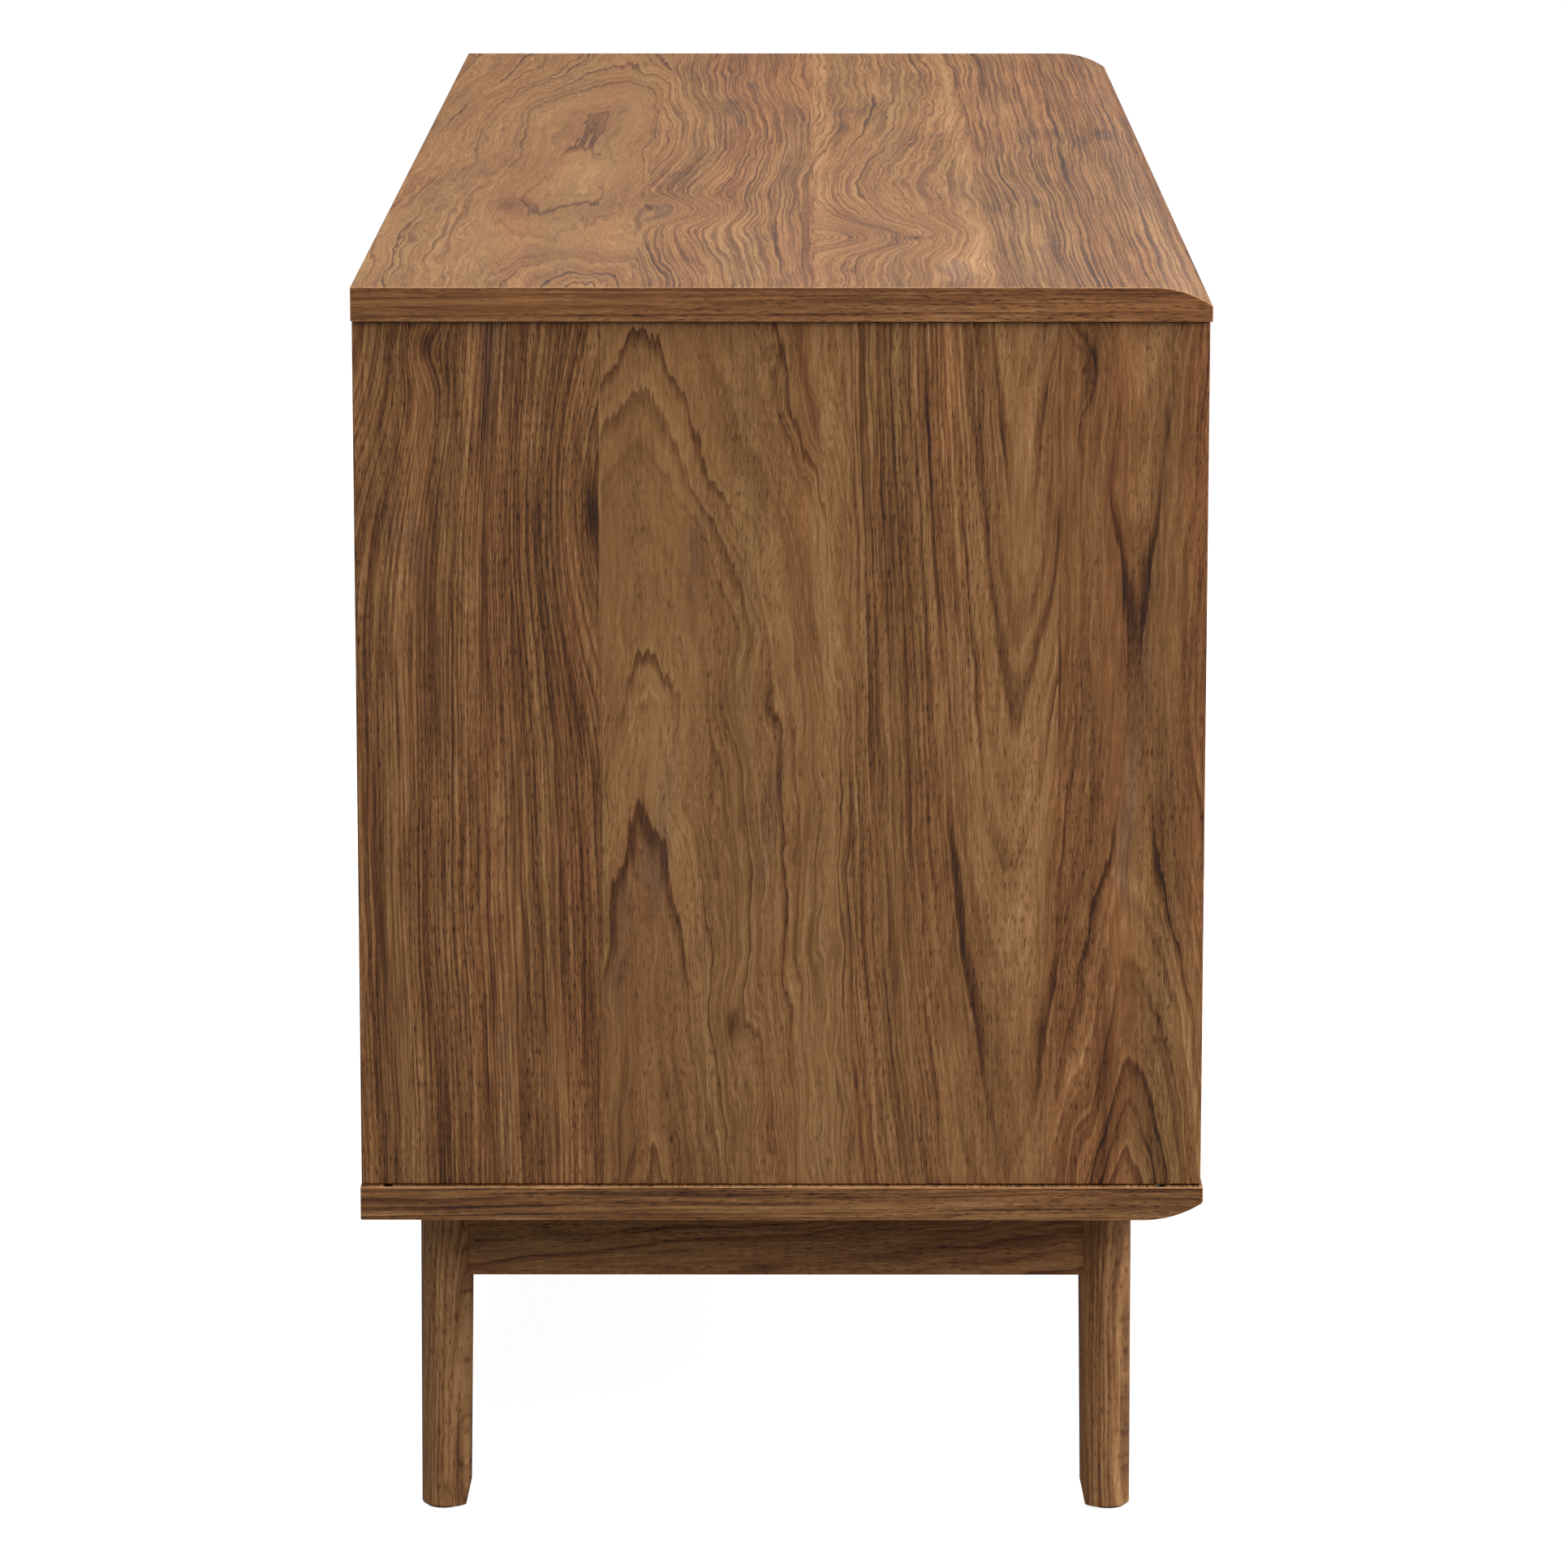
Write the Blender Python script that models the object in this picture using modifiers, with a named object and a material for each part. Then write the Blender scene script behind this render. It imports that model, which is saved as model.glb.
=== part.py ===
"""Sideboard buffet: a low case of 16 mm walnut-faced boards on splayed round legs, with two
bypass sliding doors, a centre divider and one lift-out shelf in each bay.

Metres, +Z up. The origin is on the floor under the middle of the case. The front faces -Y and the
left end, as seen from the front, is at -X. Touching pieces keep GAP between them.
"""

import math

import bmesh
import bpy
from mathutils import Matrix, Vector

# Driving dimensions
LENGTH = 1.180
DEPTH = 0.395
HEIGHT = 0.587
CASE_HEIGHT = 0.440
BOARD = 0.016
GAP = 0.0003

# Front nosing: an arc that meets the flat of the board smoothly and ends on an upright front edge
NOSE_RUN = 0.028
NOSE_DROP = 0.0085
NOSE_STEPS = 8

# Case
END_REVEAL = 0.004
SIDE_FRONT_SETBACK = 0.001
SIDE_BACK_SETBACK = 0.0004
ARRIS = 0.0006
GROOVE_PAST_SIDE = 0.003
BACK_THICKNESS = 0.003
BACK_GROOVE = 0.004
BACK_GROOVE_DEPTH = 0.006
BACK_GROOVE_INSET = 0.013
DIVIDER_SETBACK = 0.053
SHELF_SIDE_CLEARANCE = 0.001
SHELF_BACK_CLEARANCE = 0.003
SHELF_SETBACK = 0.058

# Shelf pins, on the 32 mm hole raster
PIN_RADIUS = 0.0023
PIN_IN_HOLE = 0.008
PIN_OUT = 0.009
COLLAR_RADIUS = 0.0040
COLLAR_THICKNESS = 0.0012
PIN_HOLE_RADIUS = 0.0027
PIN_HOLE_DEPTH = 0.009
PIN_RASTER = 0.032
PIN_FRONT_INSET = 0.045
PIN_BACK_INSET = 0.045

# Cam locks that hold the side panels to the top and bottom panels
CAM_RADIUS = 0.0075
CAM_DEPTH = 0.0125
CAM_FROM_END = 0.034
CAM_FROM_EDGE = 0.070
CAM_SLOT = 0.0016

# Sliding doors
DOOR_THICKNESS = 0.015
DOOR_LAP = 0.020
DOOR_END_GAP = 0.001
DOOR_FLOOR_GAP = 0.003
DOOR_TOP_GAP = 0.004
FRONT_TRACK_INSET = 0.020
TRACK_PITCH = 0.021
TRACK_GROOVE = 0.0042
TRACK_WIDTH = 0.0036
TRACK_WALL = 0.0005
TRACK_FLOOR = 0.0008
LOWER_GROOVE_DEPTH = 0.0060
UPPER_GROOVE_DEPTH = 0.0095

# Door rollers, guides and pulls
WHEEL_RADIUS = 0.0110
WHEEL_WIDTH = 0.0020
WHEEL_BORE = 0.0017
AXLE_RADIUS = 0.0012
HOUSING_LENGTH = 0.034
HOUSING_WIDTH = 0.010
HOUSING_HEIGHT = 0.020
WHEEL_ROOM = 0.0007
FITTING_INSET = 0.075
GUIDE_PLUG_RADIUS = 0.0040
GUIDE_PLUG_LENGTH = 0.012
GUIDE_PIN_RADIUS = 0.0010
GUIDE_PIN_REACH = 0.003
PULL_RADIUS = 0.0220
PULL_DEPTH = 0.0100
PULL_WALL = 0.0010
PULL_FLANGE = 0.0255
PULL_FLANGE_THICKNESS = 0.0010
PULL_INSET = 0.055

# Leg frames
SPLAY = math.radians(12)
FOOT_INSET = 0.030
LEG_FRONT_INSET = 0.0436
LEG_BACK_INSET = 0.0378
LEG_TOP_RADIUS = 0.0127
LEG_FOOT_RADIUS = 0.0118
APRON_HEIGHT = 0.037
APRON_THICKNESS = 0.016
FOOT_BEVEL_HEIGHT = 0.012
FOOT_BEVEL_DEPTH = 0.0028
PAD_RADIUS = 0.0080
PAD_THICKNESS = 0.0010
CLEAT_WIDTH = 0.022
CLEAT_HEIGHT = 0.020
CLEAT_END_CLEARANCE = 0.030

# Levels and faces worked out from them
UNDERSIDE = HEIGHT - CASE_HEIGHT
BAY_FLOOR = UNDERSIDE + BOARD
BAY_CEILING = HEIGHT - BOARD
FRONT = -DEPTH / 2
BACK = DEPTH / 2
SIDE_OUTER = LENGTH / 2 - END_REVEAL
SIDE_INNER = SIDE_OUTER - BOARD
BACK_CENTRE = BACK - BACK_GROOVE_INSET
BACK_FACE = BACK_CENTRE - BACK_THICKNESS / 2
DOOR_WIDTH = SIDE_INNER + DOOR_LAP / 2 - DOOR_END_GAP
DOOR_BOTTOM = BAY_FLOOR + DOOR_FLOOR_GAP
DOOR_TOP = BAY_CEILING - DOOR_TOP_GAP
FRONT_TRACK = FRONT + FRONT_TRACK_INSET
REAR_TRACK = FRONT_TRACK + TRACK_PITCH
TRACK_RUN = SIDE_INNER * 2 - 2 * GAP
SHELF_FRONT = FRONT + SHELF_SETBACK
SHELF_BACK = BACK_FACE - SHELF_BACK_CLEARANCE
SHELF_LEVEL = BAY_FLOOR + 0.196
WHEEL_AXIS = BAY_FLOOR - LOWER_GROOVE_DEPTH + GAP + TRACK_FLOOR + GAP + WHEEL_RADIUS
LEG_TOP_X = LENGTH / 2 - FOOT_INSET - UNDERSIDE * math.tan(SPLAY)
LEG_LINES = {"front": FRONT + LEG_FRONT_INSET, "rear": BACK - LEG_BACK_INSET}

ENDS = {"left": -1, "right": 1}
ROUND = 24


# ---------------------------------------------------------------- scene, materials, collections


def clear_scene():
    for obj in list(bpy.data.objects):
        bpy.data.objects.remove(obj)


def new_collection(name):
    collection = bpy.data.collections.new(name)
    bpy.context.scene.collection.children.link(collection)
    return collection


def finish(name, colour, roughness, metallic=0.0):
    """A Principled BSDF of one colour, for the plain functional model."""
    material = bpy.data.materials.new(name)
    material.use_nodes = True
    shader = material.node_tree.nodes["Principled BSDF"]
    shader.inputs["Base Color"].default_value = (*colour, 1.0)
    shader.inputs["Roughness"].default_value = roughness
    shader.inputs["Metallic"].default_value = metallic
    return material


clear_scene()
PARTS = new_collection("sideboard_buffet")
CUTTERS = new_collection("cutters")
WALNUT = finish("walnut", (0.26, 0.14, 0.07), 0.45)
HARDBOARD = finish("hardboard", (0.20, 0.11, 0.06), 0.7)
BLACK_METAL = finish("black_metal", (0.02, 0.02, 0.02), 0.4, 1.0)
NYLON = finish("nylon", (0.75, 0.74, 0.70), 0.4)
TRACK_PLASTIC = finish("track_plastic", (0.10, 0.06, 0.04), 0.5)
ZINC = finish("zinc", (0.62, 0.62, 0.60), 0.35, 1.0)
GLIDE_PLASTIC = finish("glide_plastic", (0.05, 0.04, 0.03), 0.6)


def group(name):
    """An empty that the pieces of one rigid body hang from."""
    empty = bpy.data.objects.new(name, None)
    PARTS.objects.link(empty)
    return empty


CASE = group("case")
DOORS = {"left": group("left_door_carriage"), "right": group("right_door_carriage")}


# ---------------------------------------------------------------- mesh and object helpers


def add_part(name, mesh, material, place, turn=None, parent=CASE):
    """Puts a mesh in the scene as one named piece at a place, turned by a rotation matrix."""
    obj = bpy.data.objects.new(name, mesh)
    mesh.materials.clear()
    mesh.materials.append(material)
    PARTS.objects.link(obj)
    obj.parent = parent
    obj.matrix_basis = Matrix.Translation(place) @ (turn or Matrix.Identity(4))
    return obj


def smooth(mesh, angle=30):
    mesh.shade_smooth()
    mesh.set_sharp_from_angle(angle=math.radians(angle))
    return mesh


def box_mesh(size):
    """A box of that size about its own origin."""
    bm = bmesh.new()
    bmesh.ops.create_cube(bm, size=1.0, matrix=Matrix.Diagonal((*size, 1.0)))
    mesh = bpy.data.meshes.new("box")
    bm.to_mesh(mesh)
    bm.free()
    return mesh


def cone_mesh(low_radius, high_radius, height, sides=ROUND):
    """A closed cylinder or cone about Z, centred on its own origin."""
    bm = bmesh.new()
    bmesh.ops.create_cone(
        bm, cap_ends=True, segments=sides, radius1=low_radius, radius2=high_radius, depth=height
    )
    mesh = bpy.data.meshes.new("cone")
    bm.to_mesh(mesh)
    bm.free()
    return smooth(mesh)


def extruded_mesh(outline, length):
    """A flat outline in its own XY plane carried along Z, as a closed mesh about its middle."""
    curve = bpy.data.curves.new("outline", "CURVE")
    curve.dimensions = "2D"
    curve.fill_mode = "BOTH"
    curve.extrude = length / 2
    spline = curve.splines.new("POLY")
    spline.points.add(len(outline) - 1)
    for point, (u, v) in zip(spline.points, outline):
        point.co = (u, v, 0, 1)
    spline.use_cyclic_u = True
    guide = bpy.data.objects.new("outline", curve)
    bpy.context.scene.collection.objects.link(guide)
    graph = bpy.context.evaluated_depsgraph_get()
    mesh = bpy.data.meshes.new_from_object(guide.evaluated_get(graph))
    bpy.data.objects.remove(guide)
    bm = bmesh.new()
    bm.from_mesh(mesh)
    bmesh.ops.remove_doubles(bm, verts=bm.verts, dist=0.00001)
    bmesh.ops.recalc_face_normals(bm, faces=bm.faces)
    bm.to_mesh(mesh)
    bm.free()
    return mesh


def turned_part(name, profile, material, place, turn=None, parent=CASE, closed=True):
    """A turned piece: a profile of (radius, height) points, run down its outer side, spun about Z."""
    count = len(profile)
    ends = count if closed else count - 1
    mesh = bpy.data.meshes.new(name)
    mesh.from_pydata(
        [(radius, 0, height) for radius, height in profile],
        [(i, (i + 1) % count) for i in range(ends)],
        [],
    )
    obj = add_part(name, mesh, material, place, turn, parent)
    screw = obj.modifiers.new("turn", "SCREW")
    screw.steps = screw.render_steps = ROUND
    screw.use_merge_vertices = True
    screw.merge_threshold = 0.00005
    screw.use_smooth_shade = False
    return obj


def ease_edges(obj, width=ARRIS):
    """A small chamfer on every sharp edge, made before any cuts."""
    bevel = obj.modifiers.new("arris", "BEVEL")
    bevel.width = width
    bevel.segments = 1
    bevel.limit_method = "ANGLE"
    bevel.angle_limit = math.radians(40)


def board(name, low, high, material=WALNUT, parent=CASE):
    """A flat board that fills the box from its lowest to its highest corner."""
    low, high = Vector(low), Vector(high)
    obj = add_part(name, box_mesh(high - low), material, (low + high) / 2, parent=parent)
    ease_edges(obj)
    return obj


def cutter(name, mesh, place, turn=None):
    obj = bpy.data.objects.new(name, mesh)
    CUTTERS.objects.link(obj)
    obj.matrix_basis = Matrix.Translation(place) @ (turn or Matrix.Identity(4))
    obj.hide_render = True
    obj.display_type = "WIRE"
    return obj


def box_cutter(name, low, high):
    low, high = Vector(low), Vector(high)
    return cutter(name, box_mesh(high - low), (low + high) / 2)


def boolean(obj, tool, operation="DIFFERENCE"):
    modifier = obj.modifiers.new(tool.name, "BOOLEAN")
    modifier.operation = operation
    modifier.solver = "EXACT"
    modifier.object = tool


def centred(middle, width):
    """The two edges of a band of that width."""
    return middle - width / 2, middle + width / 2


# ---------------------------------------------------------------- case


def nosed_outline():
    """Side view of a top board, y then z, about the board's middle: a box whose upper front corner
    is an arc of radius R, where R follows from the run and the drop of the nosing."""
    radius = (NOSE_RUN**2 + NOSE_DROP**2) / (2 * NOSE_DROP)
    sweep = math.asin(NOSE_RUN / radius)
    half = BOARD / 2
    arc = []
    for step in range(NOSE_STEPS + 1):
        angle = sweep * (1 - step / NOSE_STEPS)
        y = FRONT + NOSE_RUN - radius * math.sin(angle)
        z = half - radius * (1 - math.cos(angle))
        arc.append((y, z))
    return [(BACK, half), (BACK, -half), (FRONT, -half)] + arc


def nosed_board(name, level, flip):
    """The top or bottom panel: the nosed outline along X. The bottom panel has it upside down."""
    outline = [(y, z * flip) for y, z in nosed_outline()]
    along_x = Matrix(((0, 0, 1, 0), (1, 0, 0, 0), (0, 1, 0, 0), (0, 0, 0, 1)))
    mesh = extruded_mesh(outline, LENGTH)
    mesh.transform(along_x)
    obj = add_part(name, mesh, WALNUT, (0, 0, level))
    ease_edges(obj)
    return obj


def cut_case_grooves(obj, face, inward, track_depth):
    """Stopped grooves in the inner face of the top or bottom panel: two for the doors' tracks and
    one for the back panels. The outer two show a notch just past the outside of each side panel."""
    past_side = SIDE_OUTER + GROOVE_PAST_SIDE
    lines = {
        "front_track": (FRONT_TRACK, TRACK_GROOVE, track_depth, past_side),
        "rear_track": (REAR_TRACK, TRACK_GROOVE, track_depth, SIDE_INNER),
        "back": (BACK_CENTRE, BACK_GROOVE, BACK_GROOVE_DEPTH, past_side),
    }
    for use, (line, width, depth, reach) in lines.items():
        y_low, y_high = centred(line, width)
        levels = sorted((face - inward * 0.002, face + inward * depth))
        boolean(
            obj,
            box_cutter(
                f"{obj.name}_{use}_groove",
                (-reach, y_low, levels[0]),
                (reach, y_high, levels[1]),
            ),
        )


def pin_rows():
    """The depths of the two columns of shelf pins."""
    return {"front": SHELF_FRONT + PIN_FRONT_INSET, "rear": SHELF_BACK - PIN_BACK_INSET}


def pin_level():
    """The height of the pins' axis, with the shelf resting on the pins."""
    return SHELF_LEVEL - GAP - PIN_RADIUS


def drill_pin_holes(obj, face, inward):
    """Blind holes of the shelf pin raster in an upright face at X = face."""
    across_x = Matrix.Rotation(math.pi / 2, 4, "Y")
    for column, y in pin_rows().items():
        for row in (-1, 0, 1):
            z = pin_level() + row * PIN_RASTER
            mesh = cone_mesh(PIN_HOLE_RADIUS, PIN_HOLE_RADIUS, PIN_HOLE_DEPTH * 2, 12)
            name = f"{obj.name}_{column}_{row}_{'in' if inward > 0 else 'out'}_hole"
            boolean(obj, cutter(name, mesh, (face, y, z), across_x))


def side_panel(end, sign):
    """An end panel between the top and bottom panels, grooved for the back and bored for its
    shelf pins and cam locks."""
    name = f"side_panel_{end}"
    x_low, x_high = sorted((sign * SIDE_INNER, sign * SIDE_OUTER))
    panel = board(
        name,
        (x_low, FRONT + SIDE_FRONT_SETBACK, BAY_FLOOR + GAP),
        (x_high, BACK - SIDE_BACK_SETBACK, BAY_CEILING - GAP),
    )
    y_low, y_high = centred(BACK_CENTRE, BACK_GROOVE)
    groove_x = sorted((sign * (SIDE_INNER - 0.002), sign * (SIDE_INNER + BACK_GROOVE_DEPTH)))
    boolean(
        panel,
        box_cutter(
            f"{name}_groove",
            (groove_x[0], y_low, UNDERSIDE),
            (groove_x[1], y_high, HEIGHT),
        ),
    )
    drill_pin_holes(panel, sign * SIDE_INNER, sign)
    for place, spot in cam_places(sign).items():
        bore = CAM_RADIUS + GAP
        mesh = cone_mesh(bore, bore, 2 * (CAM_DEPTH + GAP))
        across_x = Matrix.Rotation(math.pi / 2, 4, "Y")
        boolean(panel, cutter(f"{name}_{place}_bore", mesh, spot, across_x))
    return panel


def cam_places(sign):
    """Where the four cam locks of one end panel open on its inner face."""
    spots = {}
    for level, z in (("lower", BAY_FLOOR + CAM_FROM_END), ("upper", BAY_CEILING - CAM_FROM_END)):
        for row, y in (("front", FRONT + CAM_FROM_EDGE), ("rear", BACK - CAM_FROM_EDGE)):
            spots[f"{level}_{row}"] = Vector((sign * SIDE_INNER, y, z))
    return spots


def cam_locks(end, sign):
    """The quarter-turn cam discs, flush with the inner face, each with a screwdriver slot."""
    across_x = Matrix.Rotation(math.pi / 2, 4, "Y")
    for place, spot in cam_places(sign).items():
        name = f"cam_lock_{end}_{place}"
        centre = spot + Vector((sign * (GAP + CAM_DEPTH / 2), 0, 0))
        mesh = cone_mesh(CAM_RADIUS, CAM_RADIUS, CAM_DEPTH)
        cam = add_part(name, mesh, ZINC, centre, across_x)
        half = Vector((CAM_SLOT, CAM_RADIUS * 0.75, CAM_SLOT / 2))
        boolean(cam, box_cutter(f"{name}_slot", spot - half, spot + half))


def case():
    top = nosed_board("top_panel", HEIGHT - BOARD / 2, 1)
    cut_case_grooves(top, BAY_CEILING, 1, UPPER_GROOVE_DEPTH)
    bottom = nosed_board("bottom_panel", UNDERSIDE + BOARD / 2, -1)
    cut_case_grooves(bottom, BAY_FLOOR, -1, LOWER_GROOVE_DEPTH)
    for end, sign in ENDS.items():
        side_panel(end, sign)
        cam_locks(end, sign)
        back_panel(end, sign)
    divider = board(
        "centre_divider",
        (-BOARD / 2, FRONT + DIVIDER_SETBACK, BAY_FLOOR + GAP),
        (BOARD / 2, BACK_FACE - GAP, BAY_CEILING - GAP),
    )
    for sign in (-1, 1):
        drill_pin_holes(divider, sign * BOARD / 2, -sign)


def back_panel(end, sign):
    """A thin hardboard sheet in the grooves of one bay. The two sheets meet behind the divider."""
    reach = BACK_GROOVE_DEPTH - 2 * GAP
    x_low, x_high = sorted((sign * GAP, sign * (SIDE_INNER + reach)))
    sheet = add_part(
        f"back_panel_{end}",
        box_mesh((x_high - x_low, BACK_THICKNESS, BAY_CEILING - BAY_FLOOR + 2 * reach)),
        HARDBOARD,
        ((x_low + x_high) / 2, BACK_CENTRE, (BAY_FLOOR + BAY_CEILING) / 2),
    )
    return sheet


# ---------------------------------------------------------------- shelves


def shelf(end, sign):
    x_low, x_high = sorted(
        (
            sign * (BOARD / 2 + SHELF_SIDE_CLEARANCE + COLLAR_THICKNESS),
            sign * (SIDE_INNER - SHELF_SIDE_CLEARANCE - COLLAR_THICKNESS),
        )
    )
    board(
        f"shelf_{end}",
        (x_low, SHELF_FRONT, SHELF_LEVEL),
        (x_high, SHELF_BACK, SHELF_LEVEL + BOARD),
    )


def shelf_pins(end, sign):
    """Four turned pins to a shelf: two in the end panel and two in the divider."""
    profile = [
        (0, PIN_OUT),
        (PIN_RADIUS, PIN_OUT),
        (PIN_RADIUS, COLLAR_THICKNESS + GAP),
        (COLLAR_RADIUS, COLLAR_THICKNESS + GAP),
        (COLLAR_RADIUS, GAP),
        (PIN_RADIUS, GAP),
        (PIN_RADIUS, -PIN_IN_HOLE),
        (0, -PIN_IN_HOLE),
    ]
    walls = {"outer": (sign * SIDE_INNER, -sign), "inner": (sign * BOARD / 2, sign)}
    for wall, (face, out) in walls.items():
        turn = Matrix.Rotation(out * math.pi / 2, 4, "Y")
        for column, y in pin_rows().items():
            turned_part(
                f"shelf_pin_{end}_{wall}_{column}",
                profile,
                ZINC,
                (face, y, pin_level()),
                turn,
                closed=False,
            )


# ---------------------------------------------------------------- doors and their running gear


def track(name, line, face, inward, depth):
    """A plastic U channel that lines one door groove, open towards the bay."""
    half, wall = TRACK_WIDTH / 2, TRACK_WALL
    bed = depth - GAP
    outline = [
        (-half, 0.0),
        (-half, bed),
        (half, bed),
        (half, 0.0),
        (half - wall, 0.0),
        (half - wall, bed - TRACK_FLOOR),
        (-half + wall, bed - TRACK_FLOOR),
        (-half + wall, 0.0),
    ]
    mesh = extruded_mesh([(u, v * inward) for u, v in outline], TRACK_RUN)
    mesh.transform(Matrix(((0, 0, 1, 0), (1, 0, 0, 0), (0, 1, 0, 0), (0, 0, 0, 1))))
    add_part(name, mesh, TRACK_PLASTIC, (0, line, face))


def fitting_places(centre_x):
    """X of a door's two rollers, which its two top guides share."""
    reach = DOOR_WIDTH / 2 - FITTING_INSET
    return {"a": centre_x - reach, "b": centre_x + reach}


def roller_housing(end, tag, x, line):
    """A block in the door's lower edge with a slot for the wheel and a moulded axle across it."""
    name = f"roller_housing_{end}_{tag}"
    low = Vector((x - HOUSING_LENGTH / 2, line - HOUSING_WIDTH / 2, DOOR_BOTTOM))
    high = Vector((x + HOUSING_LENGTH / 2, line + HOUSING_WIDTH / 2, DOOR_BOTTOM + HOUSING_HEIGHT))
    housing = add_part(name, box_mesh(high - low), NYLON, (low + high) / 2, parent=DOORS[end])
    room = WHEEL_RADIUS + WHEEL_ROOM
    slot_half = WHEEL_WIDTH / 2 + 0.0004
    boolean(
        housing,
        box_cutter(
            f"{name}_slot",
            (x - room, line - slot_half, DOOR_BOTTOM - 0.005),
            (x + room, line + slot_half, WHEEL_AXIS + room),
        ),
    )
    across_y = Matrix.Rotation(math.pi / 2, 4, "X")
    axle = cone_mesh(AXLE_RADIUS, AXLE_RADIUS, HOUSING_WIDTH - 0.002, 12)
    boolean(housing, cutter(f"{name}_axle", axle, (x, line, WHEEL_AXIS), across_y), "UNION")


def wheel(end, tag, x, line):
    """A nylon wheel with a bore that runs on the housing's axle. Its origin is on its axis."""
    half = WHEEL_WIDTH / 2
    profile = [
        (WHEEL_RADIUS - 0.0004, half),
        (WHEEL_RADIUS, half - 0.0004),
        (WHEEL_RADIUS, -half + 0.0004),
        (WHEEL_RADIUS - 0.0004, -half),
        (WHEEL_BORE, -half),
        (WHEEL_BORE, half),
    ]
    across_y = Matrix.Rotation(math.pi / 2, 4, "X")
    turned_part(
        f"wheel_{end}_{tag}", profile, NYLON, (x, line, WHEEL_AXIS), across_y, DOORS[end]
    )


def top_guide(end, tag, x, line):
    """A plug in the door's top edge whose thin pin runs in the upper channel."""
    profile = [
        (0, DOOR_TOP_GAP + GUIDE_PIN_REACH),
        (GUIDE_PIN_RADIUS, DOOR_TOP_GAP + GUIDE_PIN_REACH),
        (GUIDE_PIN_RADIUS, 0.0008),
        (GUIDE_PLUG_RADIUS, 0.0008),
        (GUIDE_PLUG_RADIUS, -GUIDE_PLUG_LENGTH),
        (0, -GUIDE_PLUG_LENGTH),
    ]
    turned_part(
        f"top_guide_{end}_{tag}",
        profile,
        NYLON,
        (x, line, DOOR_TOP),
        parent=DOORS[end],
        closed=False,
    )


def finger_pull(end, x, face):
    """A flush cup in the door's front face, open to the front."""
    outer, inner = PULL_RADIUS - GAP, PULL_RADIUS - GAP - PULL_WALL
    rim = GAP + PULL_FLANGE_THICKNESS
    profile = [
        (inner, rim),
        (PULL_FLANGE, rim),
        (PULL_FLANGE, GAP),
        (outer, GAP),
        (outer, -PULL_DEPTH),
        (0, -PULL_DEPTH),
        (0, -PULL_DEPTH + PULL_WALL),
        (inner, -PULL_DEPTH + PULL_WALL),
    ]
    to_front = Matrix.Rotation(math.pi / 2, 4, "X")
    centre = (x, face, (DOOR_BOTTOM + DOOR_TOP) / 2)
    turned_part(f"finger_pull_{end}", profile, BLACK_METAL, centre, to_front, DOORS[end])


def door(end, sign, line):
    """One sliding door with pockets for its cup pull, rollers and top guides."""
    outer_edge = sign * (SIDE_INNER - DOOR_END_GAP)
    centre_x = outer_edge - sign * DOOR_WIDTH / 2
    face = line - DOOR_THICKNESS / 2
    leaf = board(
        f"door_{end}",
        (centre_x - DOOR_WIDTH / 2, face, DOOR_BOTTOM),
        (centre_x + DOOR_WIDTH / 2, face + DOOR_THICKNESS, DOOR_TOP),
        parent=DOORS[end],
    )
    pull_x = outer_edge - sign * PULL_INSET
    middle = (DOOR_BOTTOM + DOOR_TOP) / 2
    pocket = cone_mesh(PULL_RADIUS, PULL_RADIUS, 2 * (PULL_DEPTH + GAP), 32)
    to_front = Matrix.Rotation(math.pi / 2, 4, "X")
    boolean(leaf, cutter(f"door_{end}_pull_pocket", pocket, (pull_x, face, middle), to_front))
    finger_pull(end, pull_x, face)
    for tag, x in fitting_places(centre_x).items():
        room = Vector((HOUSING_LENGTH / 2 + GAP, HOUSING_WIDTH / 2 + GAP, 0))
        mortise = box_cutter(
            f"door_{end}_{tag}_mortise",
            Vector((x, line, DOOR_BOTTOM - 0.005)) - room,
            Vector((x, line, DOOR_BOTTOM + HOUSING_HEIGHT + GAP)) + room,
        )
        boolean(leaf, mortise)
        radius = GUIDE_PLUG_RADIUS + GAP
        hole = cone_mesh(radius, radius, 2 * (GUIDE_PLUG_LENGTH + GAP))
        boolean(leaf, cutter(f"door_{end}_{tag}_guide_hole", hole, (x, line, DOOR_TOP)))
        roller_housing(end, tag, x, line)
        wheel(end, tag, x, line)
        top_guide(end, tag, x, line)


# ---------------------------------------------------------------- leg frames


def splayed(sign):
    """Turns a piece that stands upright into the leg frame's plane: the feet go outwards."""
    return Matrix.Rotation(-sign * SPLAY, 4, "Y")


def leg_point(sign, line, below):
    """The point of a leg's axis that is so far below the case, measured upright."""
    return Vector((sign * (LEG_TOP_X + below * math.tan(SPLAY)), line, UNDERSIDE - below))


def slab(name, low, high):
    """A flat slab, wider than the leg frames, that trims a piece to a range of heights."""
    return box_cutter(name, (-LENGTH, -DEPTH, low), (LENGTH, DEPTH, high))


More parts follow.
